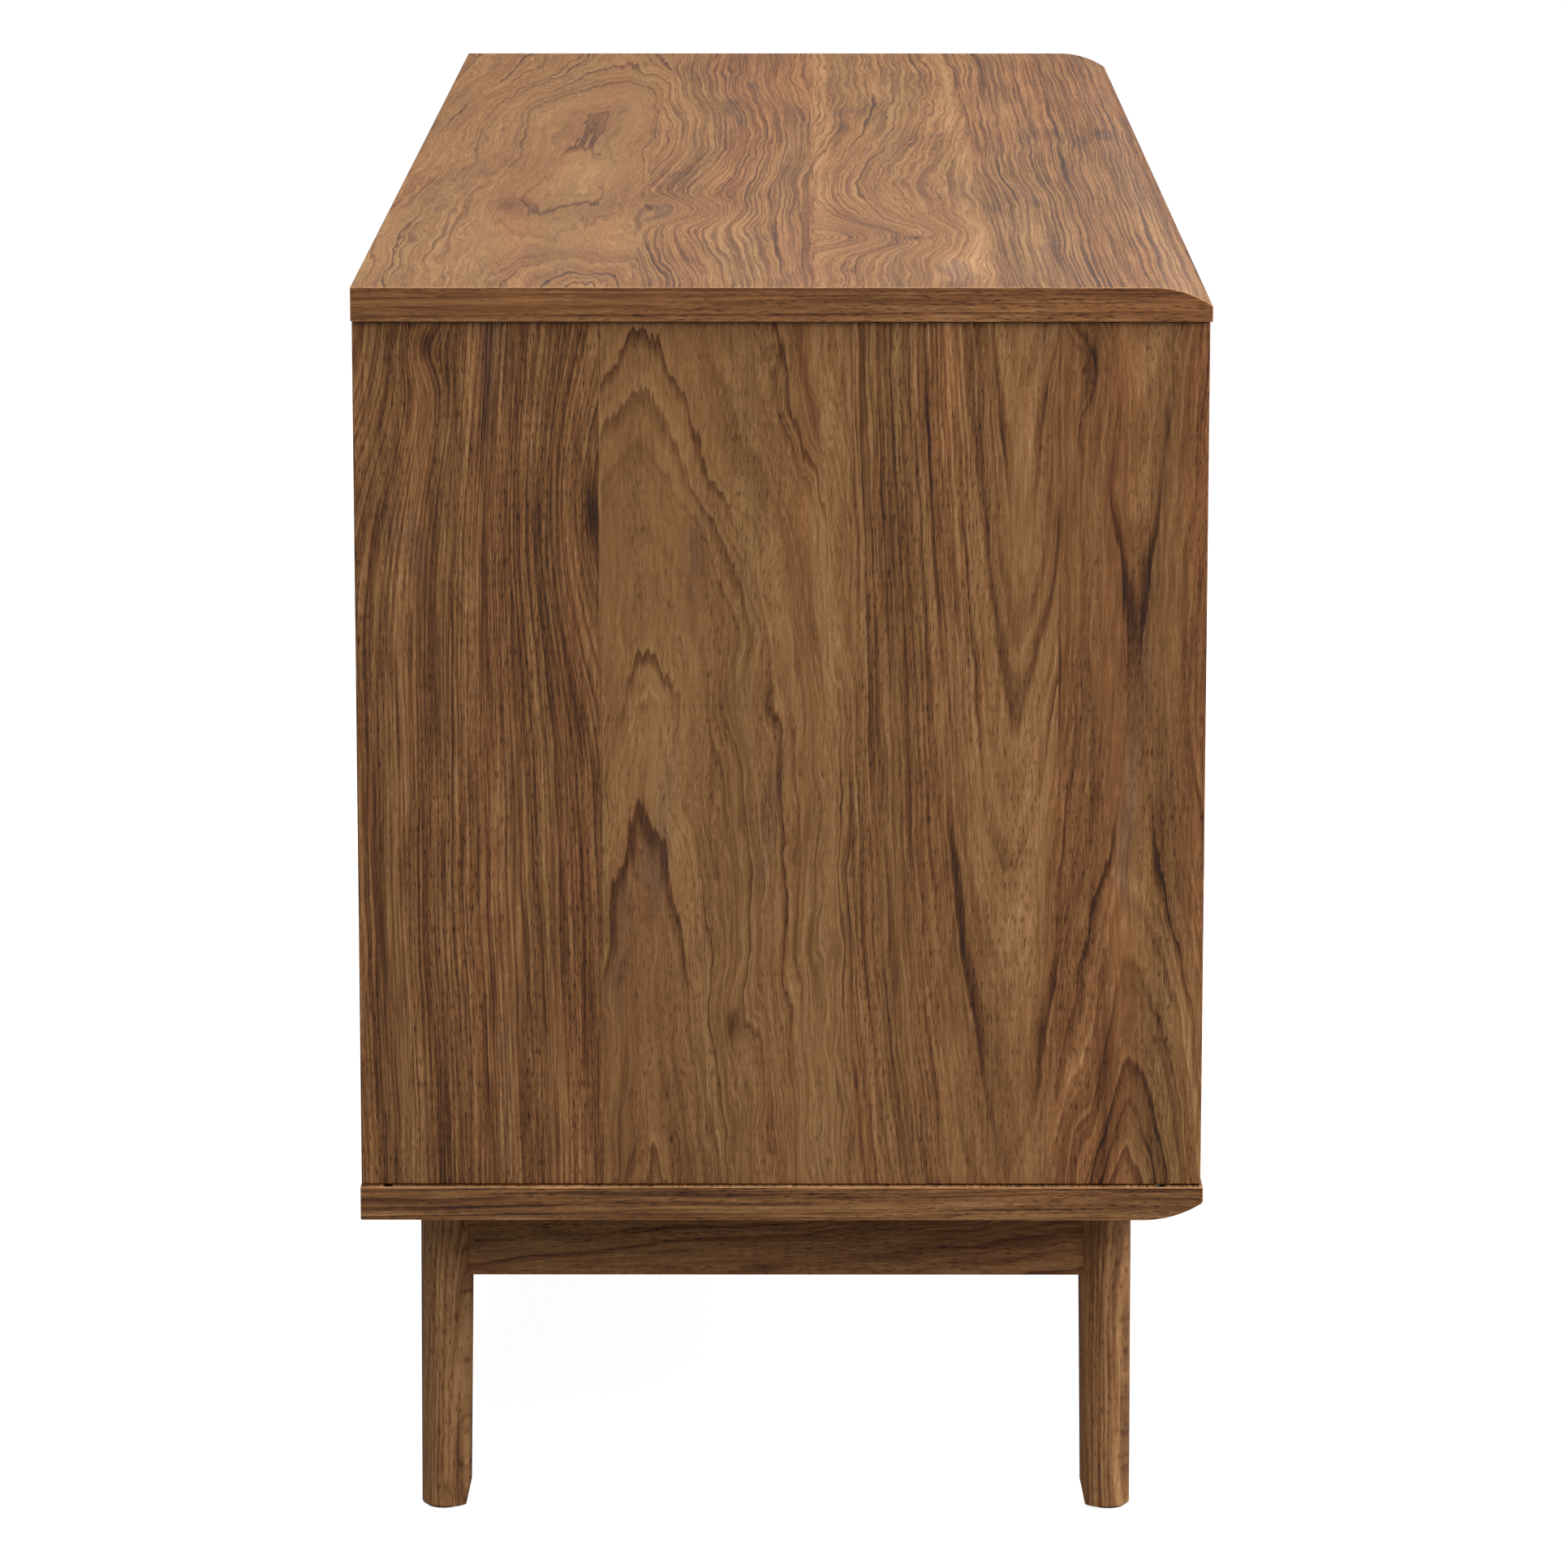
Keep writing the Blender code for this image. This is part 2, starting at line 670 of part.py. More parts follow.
def leg(end, sign, row, line):
    """A round tapered leg, trimmed level at both ends and bevelled on its inner side at the foot."""
    name = f"leg_{row}_{end}"
    foot_level = PAD_THICKNESS + GAP
    spare = 0.020
    length = UNDERSIDE / math.cos(SPLAY) + 2 * spare
    middle = leg_point(sign, line, UNDERSIDE / 2)
    grow = (LEG_TOP_RADIUS - LEG_FOOT_RADIUS) * spare / UNDERSIDE
    mesh = cone_mesh(LEG_FOOT_RADIUS - grow, LEG_TOP_RADIUS + grow, length, 32)
    obj = add_part(name, mesh, WALNUT, middle, splayed(sign))
    boolean(obj, slab(f"{name}_trim", foot_level, UNDERSIDE - GAP), "INTERSECT")
    inward = 1 if row == "front" else -1
    tilt = math.atan2(FOOT_BEVEL_DEPTH, FOOT_BEVEL_HEIGHT)
    size = 0.040
    edge = leg_point(sign, line, UNDERSIDE - foot_level)
    edge += Vector((0, inward * (LEG_FOOT_RADIUS - FOOT_BEVEL_DEPTH), 0))
    turn = splayed(sign) @ Matrix.Rotation(-inward * tilt, 4, "X")
    away = turn @ Vector((0, inward * size / 2, 0))
    bevel = cutter(f"{name}_bevel", box_mesh((size, size, 2 * size)), edge + away, turn)
    boolean(obj, bevel)
    pad = leg_point(sign, line, UNDERSIDE - PAD_THICKNESS / 2)
    pad.y -= inward * FOOT_BEVEL_DEPTH / 2
    mesh = cone_mesh(PAD_RADIUS, PAD_RADIUS, PAD_THICKNESS)
    add_part(f"foot_pad_{row}_{end}", mesh, GLIDE_PLASTIC, pad)


def apron(end, sign):
    """The rail between the front and rear legs of one end, in the plane of the legs and coped to
    them, with a cleat behind it that is screwed up into the bottom panel."""
    name = f"apron_{end}"
    front, rear = LEG_LINES["front"], LEG_LINES["rear"]
    spare = 0.010
    middle_y = (front + rear) / 2
    drop = APRON_HEIGHT - (APRON_HEIGHT + spare) / 2
    centre = leg_point(sign, middle_y, drop)
    size = (APRON_THICKNESS, rear - front, (APRON_HEIGHT + spare) / math.cos(SPLAY))
    rail = add_part(name, box_mesh(size), WALNUT, centre, splayed(sign))
    boolean(rail, slab(f"{name}_trim", 0, UNDERSIDE - GAP), "INTERSECT")
    for row, line in LEG_LINES.items():
        radius = LEG_TOP_RADIUS + GAP
        spot = leg_point(sign, line, drop)
        cope = cutter(f"{name}_{row}_cope", cone_mesh(radius, radius, 0.2, 32), spot, splayed(sign))
        boolean(rail, cope)
    inner = sign * (LEG_TOP_X - APRON_THICKNESS / 2 / math.cos(SPLAY) - GAP)
    x_low, x_high = sorted((inner, inner - sign * CLEAT_WIDTH))
    board(
        f"cleat_{end}",
        (x_low, front + CLEAT_END_CLEARANCE, UNDERSIDE - CLEAT_HEIGHT),
        (x_high, rear - CLEAT_END_CLEARANCE, UNDERSIDE - GAP),
    )


# ---------------------------------------------------------------- assembly

case()
track("track_lower_front", FRONT_TRACK, BAY_FLOOR, -1, LOWER_GROOVE_DEPTH)
track("track_lower_rear", REAR_TRACK, BAY_FLOOR, -1, LOWER_GROOVE_DEPTH)
track("track_upper_front", FRONT_TRACK, BAY_CEILING, 1, UPPER_GROOVE_DEPTH)
track("track_upper_rear", REAR_TRACK, BAY_CEILING, 1, UPPER_GROOVE_DEPTH)
for which, side in ENDS.items():
    shelf(which, side)
    shelf_pins(which, side)
    apron(which, side)
    for leg_row, leg_line in LEG_LINES.items():
        leg(which, side, leg_row, leg_line)
door("left", -1, REAR_TRACK)
door("right", 1, FRONT_TRACK)
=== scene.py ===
"""Looks of the sideboard buffet: the walnut, the fine shapes of its boards, legs, doors and fittings,
and a plain studio round it. Everything is in metres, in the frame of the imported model."""

import math

import bmesh
import bpy
import numpy as np
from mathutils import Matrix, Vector


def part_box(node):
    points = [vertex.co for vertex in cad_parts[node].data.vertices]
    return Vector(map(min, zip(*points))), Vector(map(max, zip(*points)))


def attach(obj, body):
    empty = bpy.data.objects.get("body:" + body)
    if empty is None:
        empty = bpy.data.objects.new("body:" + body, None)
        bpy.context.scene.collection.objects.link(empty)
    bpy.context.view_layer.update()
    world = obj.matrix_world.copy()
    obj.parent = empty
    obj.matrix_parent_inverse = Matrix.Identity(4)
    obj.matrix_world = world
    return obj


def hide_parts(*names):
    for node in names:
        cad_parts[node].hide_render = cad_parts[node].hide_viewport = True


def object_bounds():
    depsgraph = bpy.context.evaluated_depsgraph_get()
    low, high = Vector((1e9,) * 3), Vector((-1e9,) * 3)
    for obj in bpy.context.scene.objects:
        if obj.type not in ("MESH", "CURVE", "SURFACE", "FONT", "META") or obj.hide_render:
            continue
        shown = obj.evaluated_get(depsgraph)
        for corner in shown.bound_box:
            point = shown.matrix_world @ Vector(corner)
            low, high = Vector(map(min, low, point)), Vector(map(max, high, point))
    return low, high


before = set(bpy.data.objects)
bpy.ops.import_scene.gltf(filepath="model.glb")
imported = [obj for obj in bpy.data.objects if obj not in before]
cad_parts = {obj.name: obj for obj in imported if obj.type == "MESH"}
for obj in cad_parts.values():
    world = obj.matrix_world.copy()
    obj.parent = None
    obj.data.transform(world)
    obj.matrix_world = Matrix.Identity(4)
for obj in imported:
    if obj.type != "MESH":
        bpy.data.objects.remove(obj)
CAD_LOW, CAD_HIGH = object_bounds()

# Eased edges, and the long rounding at the front of the top and bottom panels
ARRIS = 0.0006
NOSE_RUN = 0.028
NOSE_DROP = 0.0085
NOSE_TIP = 0.0020

# Grooves: widths, depths, how far each way they run from the middle, and the run of their end walls
TRACK_SLOT = 0.0042
BACK_SLOT = 0.0040
UPPER_TRACK_DEPTH = 0.0095
LOWER_TRACK_DEPTH = 0.0060
BACK_DEPTH = 0.0060
GROOVE_END = 0.589
REAR_GROOVE_END = 0.570
GROOVE_WALL = 1e-6

# How much paler the edge of the bottom panel is painted where it stands out past an end panel: painted
# light on its top, partly the paler raw edge of its banding
LEDGE_PAINTED_LIGHT = 1.2

# Legs and the rails between them
SPLAY = math.radians(12)
LEG_FOOT_RADIUS = 0.0118
FOOT_EASE = 0.0010
FOOT_BEVEL_HEIGHT = 0.0105
FOOT_BEVEL_DEPTH = 0.0024
COPE_GAP = 0.0002

# Doors: a reed turns down by REED_ROUND of a full half circle, REED_STEP leads from the plain face into
# the first valley, and REED_SHADE is how dark the valleys are painted, a painted shade
REED_PITCH = 0.0188
REED_DEPTH = 0.0044
REED_ROUND = 0.985
REED_STEP = 0.0012
REED_RUN_OUT = 0.008
REED_SHADE = 1.1
WIDE_STILE = 0.108
NARROW_STILE = 0.026
RAIL_WIDTH = 0.034
FITTING_GAP = 0.0003
SEAT_OPENING = 0.004
POCKET_RADIUS = 0.0220

# Pulls
CUP_RADIUS = 0.0217
CUP_WALL = 0.0010
CUP_LIP = 0.0004
CUP_FLOOR_EDGE = 0.0025

# Steps round a full turn, on the legs and the pulls
ROUND_STEPS = 96

# Camera: its distance from the near end, its place, and where it points
CAMERA_LENS = 162.4
CAMERA_DISTANCE = 3.217
CAMERA_HEIGHT = 0.985
CAMERA_ASIDE = -0.0084
CAMERA_PITCH = math.radians(11.07)
CAMERA_YAW = math.radians(0.13)

# Studio: strength of the surroundings, the floor, and each softbox's place, size and watts
WORLD_LIGHT = 0.27
FLOOR_SPAN = 14.0
FLOOR_GREY = 0.32
FLOOR_GLOW = 0.90
SOFTBOXES = {
    "overhead_softbox": ((0.0, 0.0, 3.0), (3.6, 2.4), 97.0),
    "near_end_softbox": ((-3.4, -0.6, 2.3), (1.8, 1.6), 44.0),
    "front_softbox": ((-0.9, -3.3, 1.9), (2.6, 1.8), 112.0),
    "rear_softbox": ((-0.9, 3.3, 1.9), (2.4, 1.8), 14.0),
    "far_end_softbox": ((2.7, -1.2, 2.7), (1.6, 1.6), 24.0),
}

ENDS = {"left": -1, "right": 1}
ROWS = ("front", "rear")


# ---------------------------------------------------------------- patterns written as formulas


class Wire:
    """One output in a node tree. Arithmetic on wires adds Math nodes, so a pattern reads as a formula."""

    def __init__(self, tree, socket):
        self.tree = tree
        self.socket = socket

    def math(self, operation, *others):
        node = self.tree.nodes.new("ShaderNodeMath")
        node.operation = operation
        for slot, value in zip(node.inputs, (self, *others)):
            join(self.tree, value, slot)
        return Wire(self.tree, node.outputs[0])

    def __add__(self, other):
        return self.math("ADD", other)

    def __sub__(self, other):
        return self.math("SUBTRACT", other)

    def __mul__(self, other):
        return self.math("MULTIPLY", other)

    def __truediv__(self, other):
        return self.math("DIVIDE", other)

    def __pow__(self, other):
        return self.math("POWER", other)

    def __neg__(self):
        return self.math("MULTIPLY", -1.0)

    def squared(self):
        return self.math("MULTIPLY", self)

    def floor(self):
        return self.math("FLOOR")

    def fraction(self):
        return self.math("FRACT")

    def size(self):
        return self.math("ABSOLUTE")

    def above(self, limit):
        return self.math("GREATER_THAN", limit)

    def below(self, limit):
        return self.math("LESS_THAN", limit)

    def rise(self, low, high):
        """0 below low, 1 above high, and an S-curve between."""
        node = self.tree.nodes.new("ShaderNodeMapRange")
        node.interpolation_type = "SMOOTHSTEP"
        join(self.tree, self, node.inputs["Value"])
        join(self.tree, low, node.inputs["From Min"])
        join(self.tree, high, node.inputs["From Max"])
        return Wire(self.tree, node.outputs["Result"])


def join(tree, value, slot):
    """Feeds a socket from a wire, or sets it to a number."""
    if isinstance(value, Wire):
        tree.links.new(value.socket, slot)
    else:
        slot.default_value = value


def vector(tree, x, y, z):
    node = tree.nodes.new("ShaderNodeCombineXYZ")
    for slot, value in zip(node.inputs, (x, y, z)):
        join(tree, value, slot)
    return Wire(tree, node.outputs[0])


def parts_of(tree, wire):
    node = tree.nodes.new("ShaderNodeSeparateXYZ")
    join(tree, wire, node.inputs[0])
    return [Wire(tree, out) for out in node.outputs]


def noise(tree, x, y, z, detail=2.0, roughness=0.5):
    """Smooth noise from 0 to 1, about one bump for each unit of x, y and z."""
    node = tree.nodes.new("ShaderNodeTexNoise")
    node.inputs["Scale"].default_value = 1.0
    node.inputs["Detail"].default_value = detail
    node.inputs["Roughness"].default_value = roughness
    join(tree, vector(tree, x, y, z), node.inputs["Vector"])
    return Wire(tree, node.outputs["Fac"])


def chance(tree, number):
    """One random number from 0 to 1 for each whole number."""
    node = tree.nodes.new("ShaderNodeTexWhiteNoise")
    node.noise_dimensions = "1D"
    join(tree, number, node.inputs["W"])
    return Wire(tree, node.outputs["Value"])


def blend(tree, share, first, second):
    """first where share is 0 and second where it is 1."""
    node = tree.nodes.new("ShaderNodeMix")
    node.data_type = "FLOAT"
    for slot, value in zip((0, 2, 3), (share, first, second)):
        join(tree, value, node.inputs[slot])
    return Wire(tree, node.outputs[0])


def tint(tree, share, first, second, mode="MIX"):
    """Mixes two colours."""
    node = tree.nodes.new("ShaderNodeMix")
    node.data_type = "RGBA"
    node.blend_type = mode
    for slot, value in zip((0, 6, 7), (share, first, second)):
        join(tree, value, node.inputs[slot])
    return Wire(tree, node.outputs[2])


def colours(tree, wire, stops, steps="EASE"):
    """Reads a colour from a ramp of (position, colour) stops."""
    node = tree.nodes.new("ShaderNodeValToRGB")
    node.color_ramp.interpolation = steps
    elements = node.color_ramp.elements
    while len(elements) < len(stops):
        elements.new(1.0)
    for element, (position, colour) in zip(elements, stops):
        element.position = position
        element.color = (*colour, 1.0)
    join(tree, wire, node.inputs[0])
    return Wire(tree, node.outputs["Color"])


def new_group(name, inputs, outputs):
    """A node group with number or colour sockets. Returns it, its input wires and a way to send wires
    out of it."""
    kinds = {"number": "NodeSocketFloat", "colour": "NodeSocketColor"}
    tree = bpy.data.node_groups.new(name, "ShaderNodeTree")
    for label, kind in inputs.items():
        tree.interface.new_socket(name=label, in_out="INPUT", socket_type=kinds[kind])
    for label, kind in outputs.items():
        tree.interface.new_socket(name=label, in_out="OUTPUT", socket_type=kinds[kind])
    source = tree.nodes.new("NodeGroupInput")
    target = tree.nodes.new("NodeGroupOutput")
    wires = {label: Wire(tree, source.outputs[label]) for label in inputs}

    def send(**results):
        for label, wire in results.items():
            join(tree, wire, target.inputs[label])

    return tree, wires, send


def place(tree, group, **inputs):
    """Puts a group into a tree and returns its outputs as wires."""
    node = tree.nodes.new("ShaderNodeGroup")
    node.node_tree = group
    for label, value in inputs.items():
        join(tree, value, node.inputs[label])
    return {out.name: Wire(tree, out) for out in node.outputs}


# ---------------------------------------------------------------- walnut


def make_board_grain():
    """Lays grain on a flat board from its own coordinates. Across, Along and Through are the board's
    width, grain and thickness axes. The broad faces read across and along. The long edges read through
    and along, and the ends, which are banded, read through and across."""
    tree, put, send = new_group(
        "board_grain",
        {"Across": "number", "Along": "number", "Through": "number",
         "Turn Across": "number", "Turn Along": "number", "Turn Through": "number", "Seed": "number"},
        {"across": "number", "along": "number", "seed": "number", "broad": "number"},
    )
    end = put["Turn Along"].size().above(0.6)
    broad = put["Turn Through"].size().above(0.6)
    across = blend(tree, broad, put["Through"], put["Across"])
    along = blend(tree, end, put["Along"], put["Across"])
    side = put["Turn Across"].above(0.6) * 1.7 + put["Turn Through"].above(0.6) * 2.9
    send(across=across, along=along, seed=put["Seed"] + side + end * 4.3, broad=broad)
    return tree


def make_walnut_figure():
    """Growth rings of a board sawn lengthwise from a log. The distance from the pith is
    (aside to the power 1.5 plus level to the power 1.5) to the power 2/3, where aside is how far a point
    is across from the pith, and level, the depth of the pith under the face, is depth plus lean times
    along plus bow times along squared. Equal distances make arches over the pith and near straight
    lines far from it. Slow noise lets the log wander, and fine noise drawn out along the grain makes the
    arches jagged. Bands of colour, fine threads and separate dark lines all read the distance, so that
    they follow one another. Threads fade over the pith, where the rings lie flat."""
    tree, put, send = new_group(
        "walnut_figure",
        {"Across": "number", "Along": "number", "Seed": "number", "Pith": "number", "Depth": "number",
         "Lean": "number", "Bow": "number", "Wildness": "number", "Ripple": "number", "Ring": "number",
         "Swell": "number", "Stretch": "number"},
        {"line": "number", "bands": "number", "threads": "number", "slip": "number"},
    )
    across, seed, wild, ripple = put["Across"], put["Seed"], put["Wildness"], put["Ripple"]
    along = put["Along"] * put["Stretch"]
    sway = noise(tree, across * 4.0, along * 2.2, seed, 1.0) - 0.5
    drift = noise(tree, across * 16.0, along * 7.0, seed + 4.7, 2.0) - 0.5
    wobble = noise(tree, across * 70.0, along * 26.0, seed + 6.2, 2.0) - 0.5
    jag = noise(tree, across * 330.0, along * 12.0, seed + 3.1, 2.0) - 0.5
    slip = wild * (sway * 0.050 + drift * 0.012) + ripple * wobble * 0.0045
    level = put["Depth"] + put["Lean"] * along + put["Bow"] * along.squared() + wild * drift * 0.022
    aside = (across - put["Pith"] + slip).size()
    reach = (aside ** 1.5 + level.size() ** 1.5) ** (2.0 / 3.0)
    steep = (aside / reach).rise(0.15, 0.95) * 0.75 + 0.25
    distance = reach + put["Swell"] + (ripple * 0.7 + 0.3) * jag * 0.0022
    uneven = noise(tree, distance * 55.0, along * 0.8, seed + 2.3, 2.0) - 0.5
    count = distance / put["Ring"] + uneven * 2.4
    late = count.fraction()
    edge = late.rise(0.45, 0.92) * (late.rise(0.92, 1.0) * -1.0 + 1.0)
    strength = chance(tree, count.floor() + (seed * 13.0).floor())
    fade = noise(tree, distance * 90.0, along * 7.0, seed + 7.9, 1.0).rise(0.36, 0.60)
    bands = noise(tree, distance * 70.0, along * 1.3, seed + 8.0, 2.0, 0.6)
    threads = noise(tree, distance * 780.0, along * 8.0, seed + 9.0, 2.0, 0.6).rise(0.36, 0.62)
    weight = strength ** 1.4 * 0.9 + 0.1
    glint = (late.rise(0.0, 0.16) * -1.0 + 1.0) * weight
    send(line=(edge - glint * 0.35) * weight * fade, bands=bands, threads=(threads - 0.55) * steep,
         slip=slip)
    return tree


def make_walnut_fibres():
    """What runs along the grain: pores as short dark dashes, fibres as fine light and dark hairs, streaks
    of redder heartwood, a slow mottling, and inky streaks."""
    tree, put, send = new_group(
        "walnut_fibres",
        {"Across": "number", "Along": "number", "Seed": "number", "Slip": "number"},
        {"pores": "number", "gleam": "number", "fibres": "number", "streaks": "number",
         "mottle": "number", "ink": "number"},
    )
    across = put["Across"] + put["Slip"] * 0.7
    along, seed = put["Along"], put["Seed"]
    dash = noise(tree, across * 1500.0, along * 190.0, seed + 1.0, 1.0)
    spark = noise(tree, across * 1700.0, along * 160.0, seed + 11.0, 1.0)
    crowd = noise(tree, across * 70.0, along * 5.0, seed + 6.0, 1.0)
    hairs = noise(tree, across * 560.0, along * 30.0, seed + 2.0, 3.0, 0.7)
    streaks = noise(tree, across * 42.0, along * 1.6, seed + 3.0, 2.0)
    mottle = noise(tree, across * 22.0, along * 7.0, seed + 5.0, 2.0)
    ink = noise(tree, across * 38.0, along * 6.5, seed + 14.0, 2.0)
    send(
        pores=dash.rise(0.54, 0.70) * crowd.rise(0.25, 0.62),
        gleam=spark.rise(0.56, 0.72),
        fibres=hairs,
        streaks=streaks,
        mottle=mottle,
        ink=ink.rise(0.62, 0.74),
    )
    return tree


WALNUT_TONES = [
    (0.00, (0.030, 0.015, 0.011)),
    (0.20, (0.075, 0.029, 0.013)),
    (0.42, (0.155, 0.066, 0.026)),
    (0.60, (0.240, 0.113, 0.046)),
    (0.80, (0.350, 0.185, 0.085)),
    (1.00, (0.500, 0.300, 0.165)),
]


def make_walnut_finish():
    """Adds bands, dark lines, threads, pores and fibres to one tone, and reads colour, roughness and
    height from the sum. Redness warms the colour, ink greys it, and painted light makes it paler as a
    painted highlight, or below 0 darker as painted shade."""
    tree, put, send = new_group(
        "walnut_finish",
        {"line": "number", "bands": "number", "threads": "number", "pores": "number",
         "gleam": "number", "fibres": "number", "streaks": "number", "mottle": "number",
         "ink": "number", "Tone": "number", "Redness": "number", "Bands": "number",
         "Lines": "number", "Threads": "number", "Fibres": "number", "Arris": "number"},
        {"Colour": "colour", "Roughness": "number", "Height": "number"},
    )
    figure = (put["bands"] - 0.5) * put["Bands"] * 0.52 + put["threads"] * put["Threads"] * 0.30
    figure = figure - put["line"] * put["Lines"] * 0.44
    fine = (put["fibres"] - 0.5) * 0.70 - put["pores"] * 0.26 + put["gleam"] * 0.12
    tone = put["Tone"] + 0.10 + figure + (put["mottle"] - 0.5) * 0.20
    tone = tone + fine * put["Fibres"] - put["ink"] * 0.07
    # Painted highlight, or below 0 painted shade, stored on the mesh shifts the tone before the colour is
    # read
    wood = colours(tree, tone + put["Arris"] * 0.32, WALNUT_TONES, "LINEAR")
    red = (put["Redness"] + (put["streaks"] - 0.5) * 1.0).rise(0.0, 1.0)
    warm = tint(tree, 1.0, wood, (1.09, 0.90, 0.80, 1.0), "MULTIPLY")
    gold = tint(tree, 1.0, wood, (0.96, 1.04, 0.94, 1.0), "MULTIPLY")
    inky = tint(tree, 1.0, wood, (0.80, 0.86, 1.06, 1.0), "MULTIPLY")
    send(
        Colour=tint(tree, put["ink"] * 0.8, tint(tree, red, gold, warm), inky),
        Roughness=put["pores"] * 0.15 + put["fibres"] * 0.14 + 0.44,
        Height=put["fibres"] * 0.5 - put["pores"] + put["threads"] * 0.3,
    )
    return tree


BOARD_GRAIN = make_board_grain()
WALNUT_FIGURE = make_walnut_figure()
WALNUT_FIBRES = make_walnut_fibres()
WALNUT_FINISH = make_walnut_finish()
FIGURE_KEYS = ("Pith", "Depth", "Lean", "Bow", "Wildness", "Ripple", "Ring")
FINISH_KEYS = ("Tone", "Redness", "Bands", "Lines", "Threads", "Fibres")

# Lowest and highest value of each property of a leaf of veneer
LEAF_RANGES = {
    "Pith": (-1.0, 1.0), "Depth": (0.0, 0.2), "Lean": (-0.5, 0.5), "Bow": (-2.0, 2.0),
    "Wildness": (0.0, 4.0), "Ripple": (0.0, 4.0), "Ring": (0.0, 0.02), "Tone": (0.0, 1.0),
    "Redness": (0.0, 1.0), "Bands": (0.0, 2.0), "Lines": (0.0, 2.0), "Threads": (0.0, 2.0),
    "Fibres": (0.0, 2.0),
}
STRAIGHT_LEAF = {
    "Pith": -0.35, "Depth": 0.04, "Lean": 0.02, "Bow": 0.0, "Wildness": 0.22, "Ripple": 0.3,
    "Ring": 0.0036, "Tone": 0.40, "Redness": 0.50, "Bands": 1.0, "Lines": 0.75, "Threads": 0.85,
    "Fibres": 1.0,
}


def leaf(start, **properties):
    """One leaf of veneer on a board. start is where it begins and Pith where its heart lies, both in
    metres from the board's edge. Depth, Lean and Bow say how deep the heart is at the board's middle
    and how that changes along it, and Ring is the width of a growth ring. Wildness bends the rings in
    long waves and Ripple in short ones. The rest is how dark and red it is, and how strongly its bands,
    lines, threads and fibres show."""
    return {"start": start, **STRAIGHT_LEAF, **properties}


def read_leaves(tree, laid, leaves, width):
    """Picks the leaf under each point, as ramps in flat steps over the board's width, three properties
    to a ramp."""
    share = laid / width
    found = {}
    names = list(LEAF_RANGES)
    for first in range(0, len(names), 3):
        trio = names[first:first + 3]
        stops = []
        for each in leaves:
            shares = [(each[key] - LEAF_RANGES[key][0]) / np.ptp(LEAF_RANGES[key]) for key in trio]
            stops.append((each["start"] / width, tuple(shares + [0.0] * (3 - len(trio)))))
        for key, wire in zip(trio, parts_of(tree, colours(tree, share, stops, "CONSTANT"))):
            found[key] = wire * float(np.ptp(LEAF_RANGES[key])) + LEAF_RANGES[key][0]
    return found


def bell(across, along, spot):
    """e to the minus (distance over the half sizes) squared, about a spot (across, along, half width,
    half length)."""
    centre_across, centre_along, half_width, half_length = spot
    offset = ((across - centre_across) / half_width).squared()
    return (-(offset + ((along - centre_along) / half_length).squared())).math("EXPONENT")


def add_spots(across, along, leaves, spots):
    """Adds up spots (across, along, half width, half length, amount), each cut off at the seams of the
    leaf that its middle lies in."""
    total = 0.0
    seams = [each["start"] for each in leaves] + [9.0]
    for *spot, amount in spots:
        number = max(i for i, seam in enumerate(seams[:-1]) if spot[0] >= seam)
        inside = across.above(seams[number]) * across.below(seams[number + 1])
        total = bell(across, along, spot) * inside * amount + total
    return total


def new_material(name):
    material = bpy.data.materials.new(name)
    material.use_nodes = True
    shader = material.node_tree.nodes["Principled BSDF"]
    return material, material.node_tree, shader


def object_place(tree):
    """Where a point is and which way its face looks, in the piece's own axes."""
    node = tree.nodes.new("ShaderNodeTexCoord")
    place_xyz = parts_of(tree, Wire(tree, node.outputs["Object"]))
    turn_xyz = parts_of(tree, Wire(tree, node.outputs["Normal"]))
    return dict(zip("xyz", place_xyz)), dict(zip("xyz", turn_xyz))


def attribute(tree, name, output):
    node = tree.nodes.new("ShaderNodeAttribute")
    node.attribute_name = name
    return Wire(tree, node.outputs[output])


def bump(tree, shader, height, depth):
    node = tree.nodes.new("ShaderNodeBump")
    node.inputs["Strength"].default_value = 1.0
    node.inputs["Distance"].default_value = depth
    join(tree, height, node.inputs["Height"])
    tree.links.new(node.outputs["Normal"], shader.inputs["Normal"])


def finish_walnut(tree, shader, fibres, **inputs):
    """Puts the finish group on a shader."""
    # The mesh's stored painted highlight and painted shade feed the finish
    finish = place(
        tree, WALNUT_FINISH, Arris=attribute(tree, "arris", "Fac"), **fibres, **inputs
    )
    join(tree, finish["Colour"], shader.inputs["Base Color"])
    join(tree, finish["Roughness"], shader.inputs["Roughness"])
    shader.inputs["Specular IOR Level"].default_value = 0.15
    bump(tree, shader, finish["Height"], 0.00010)


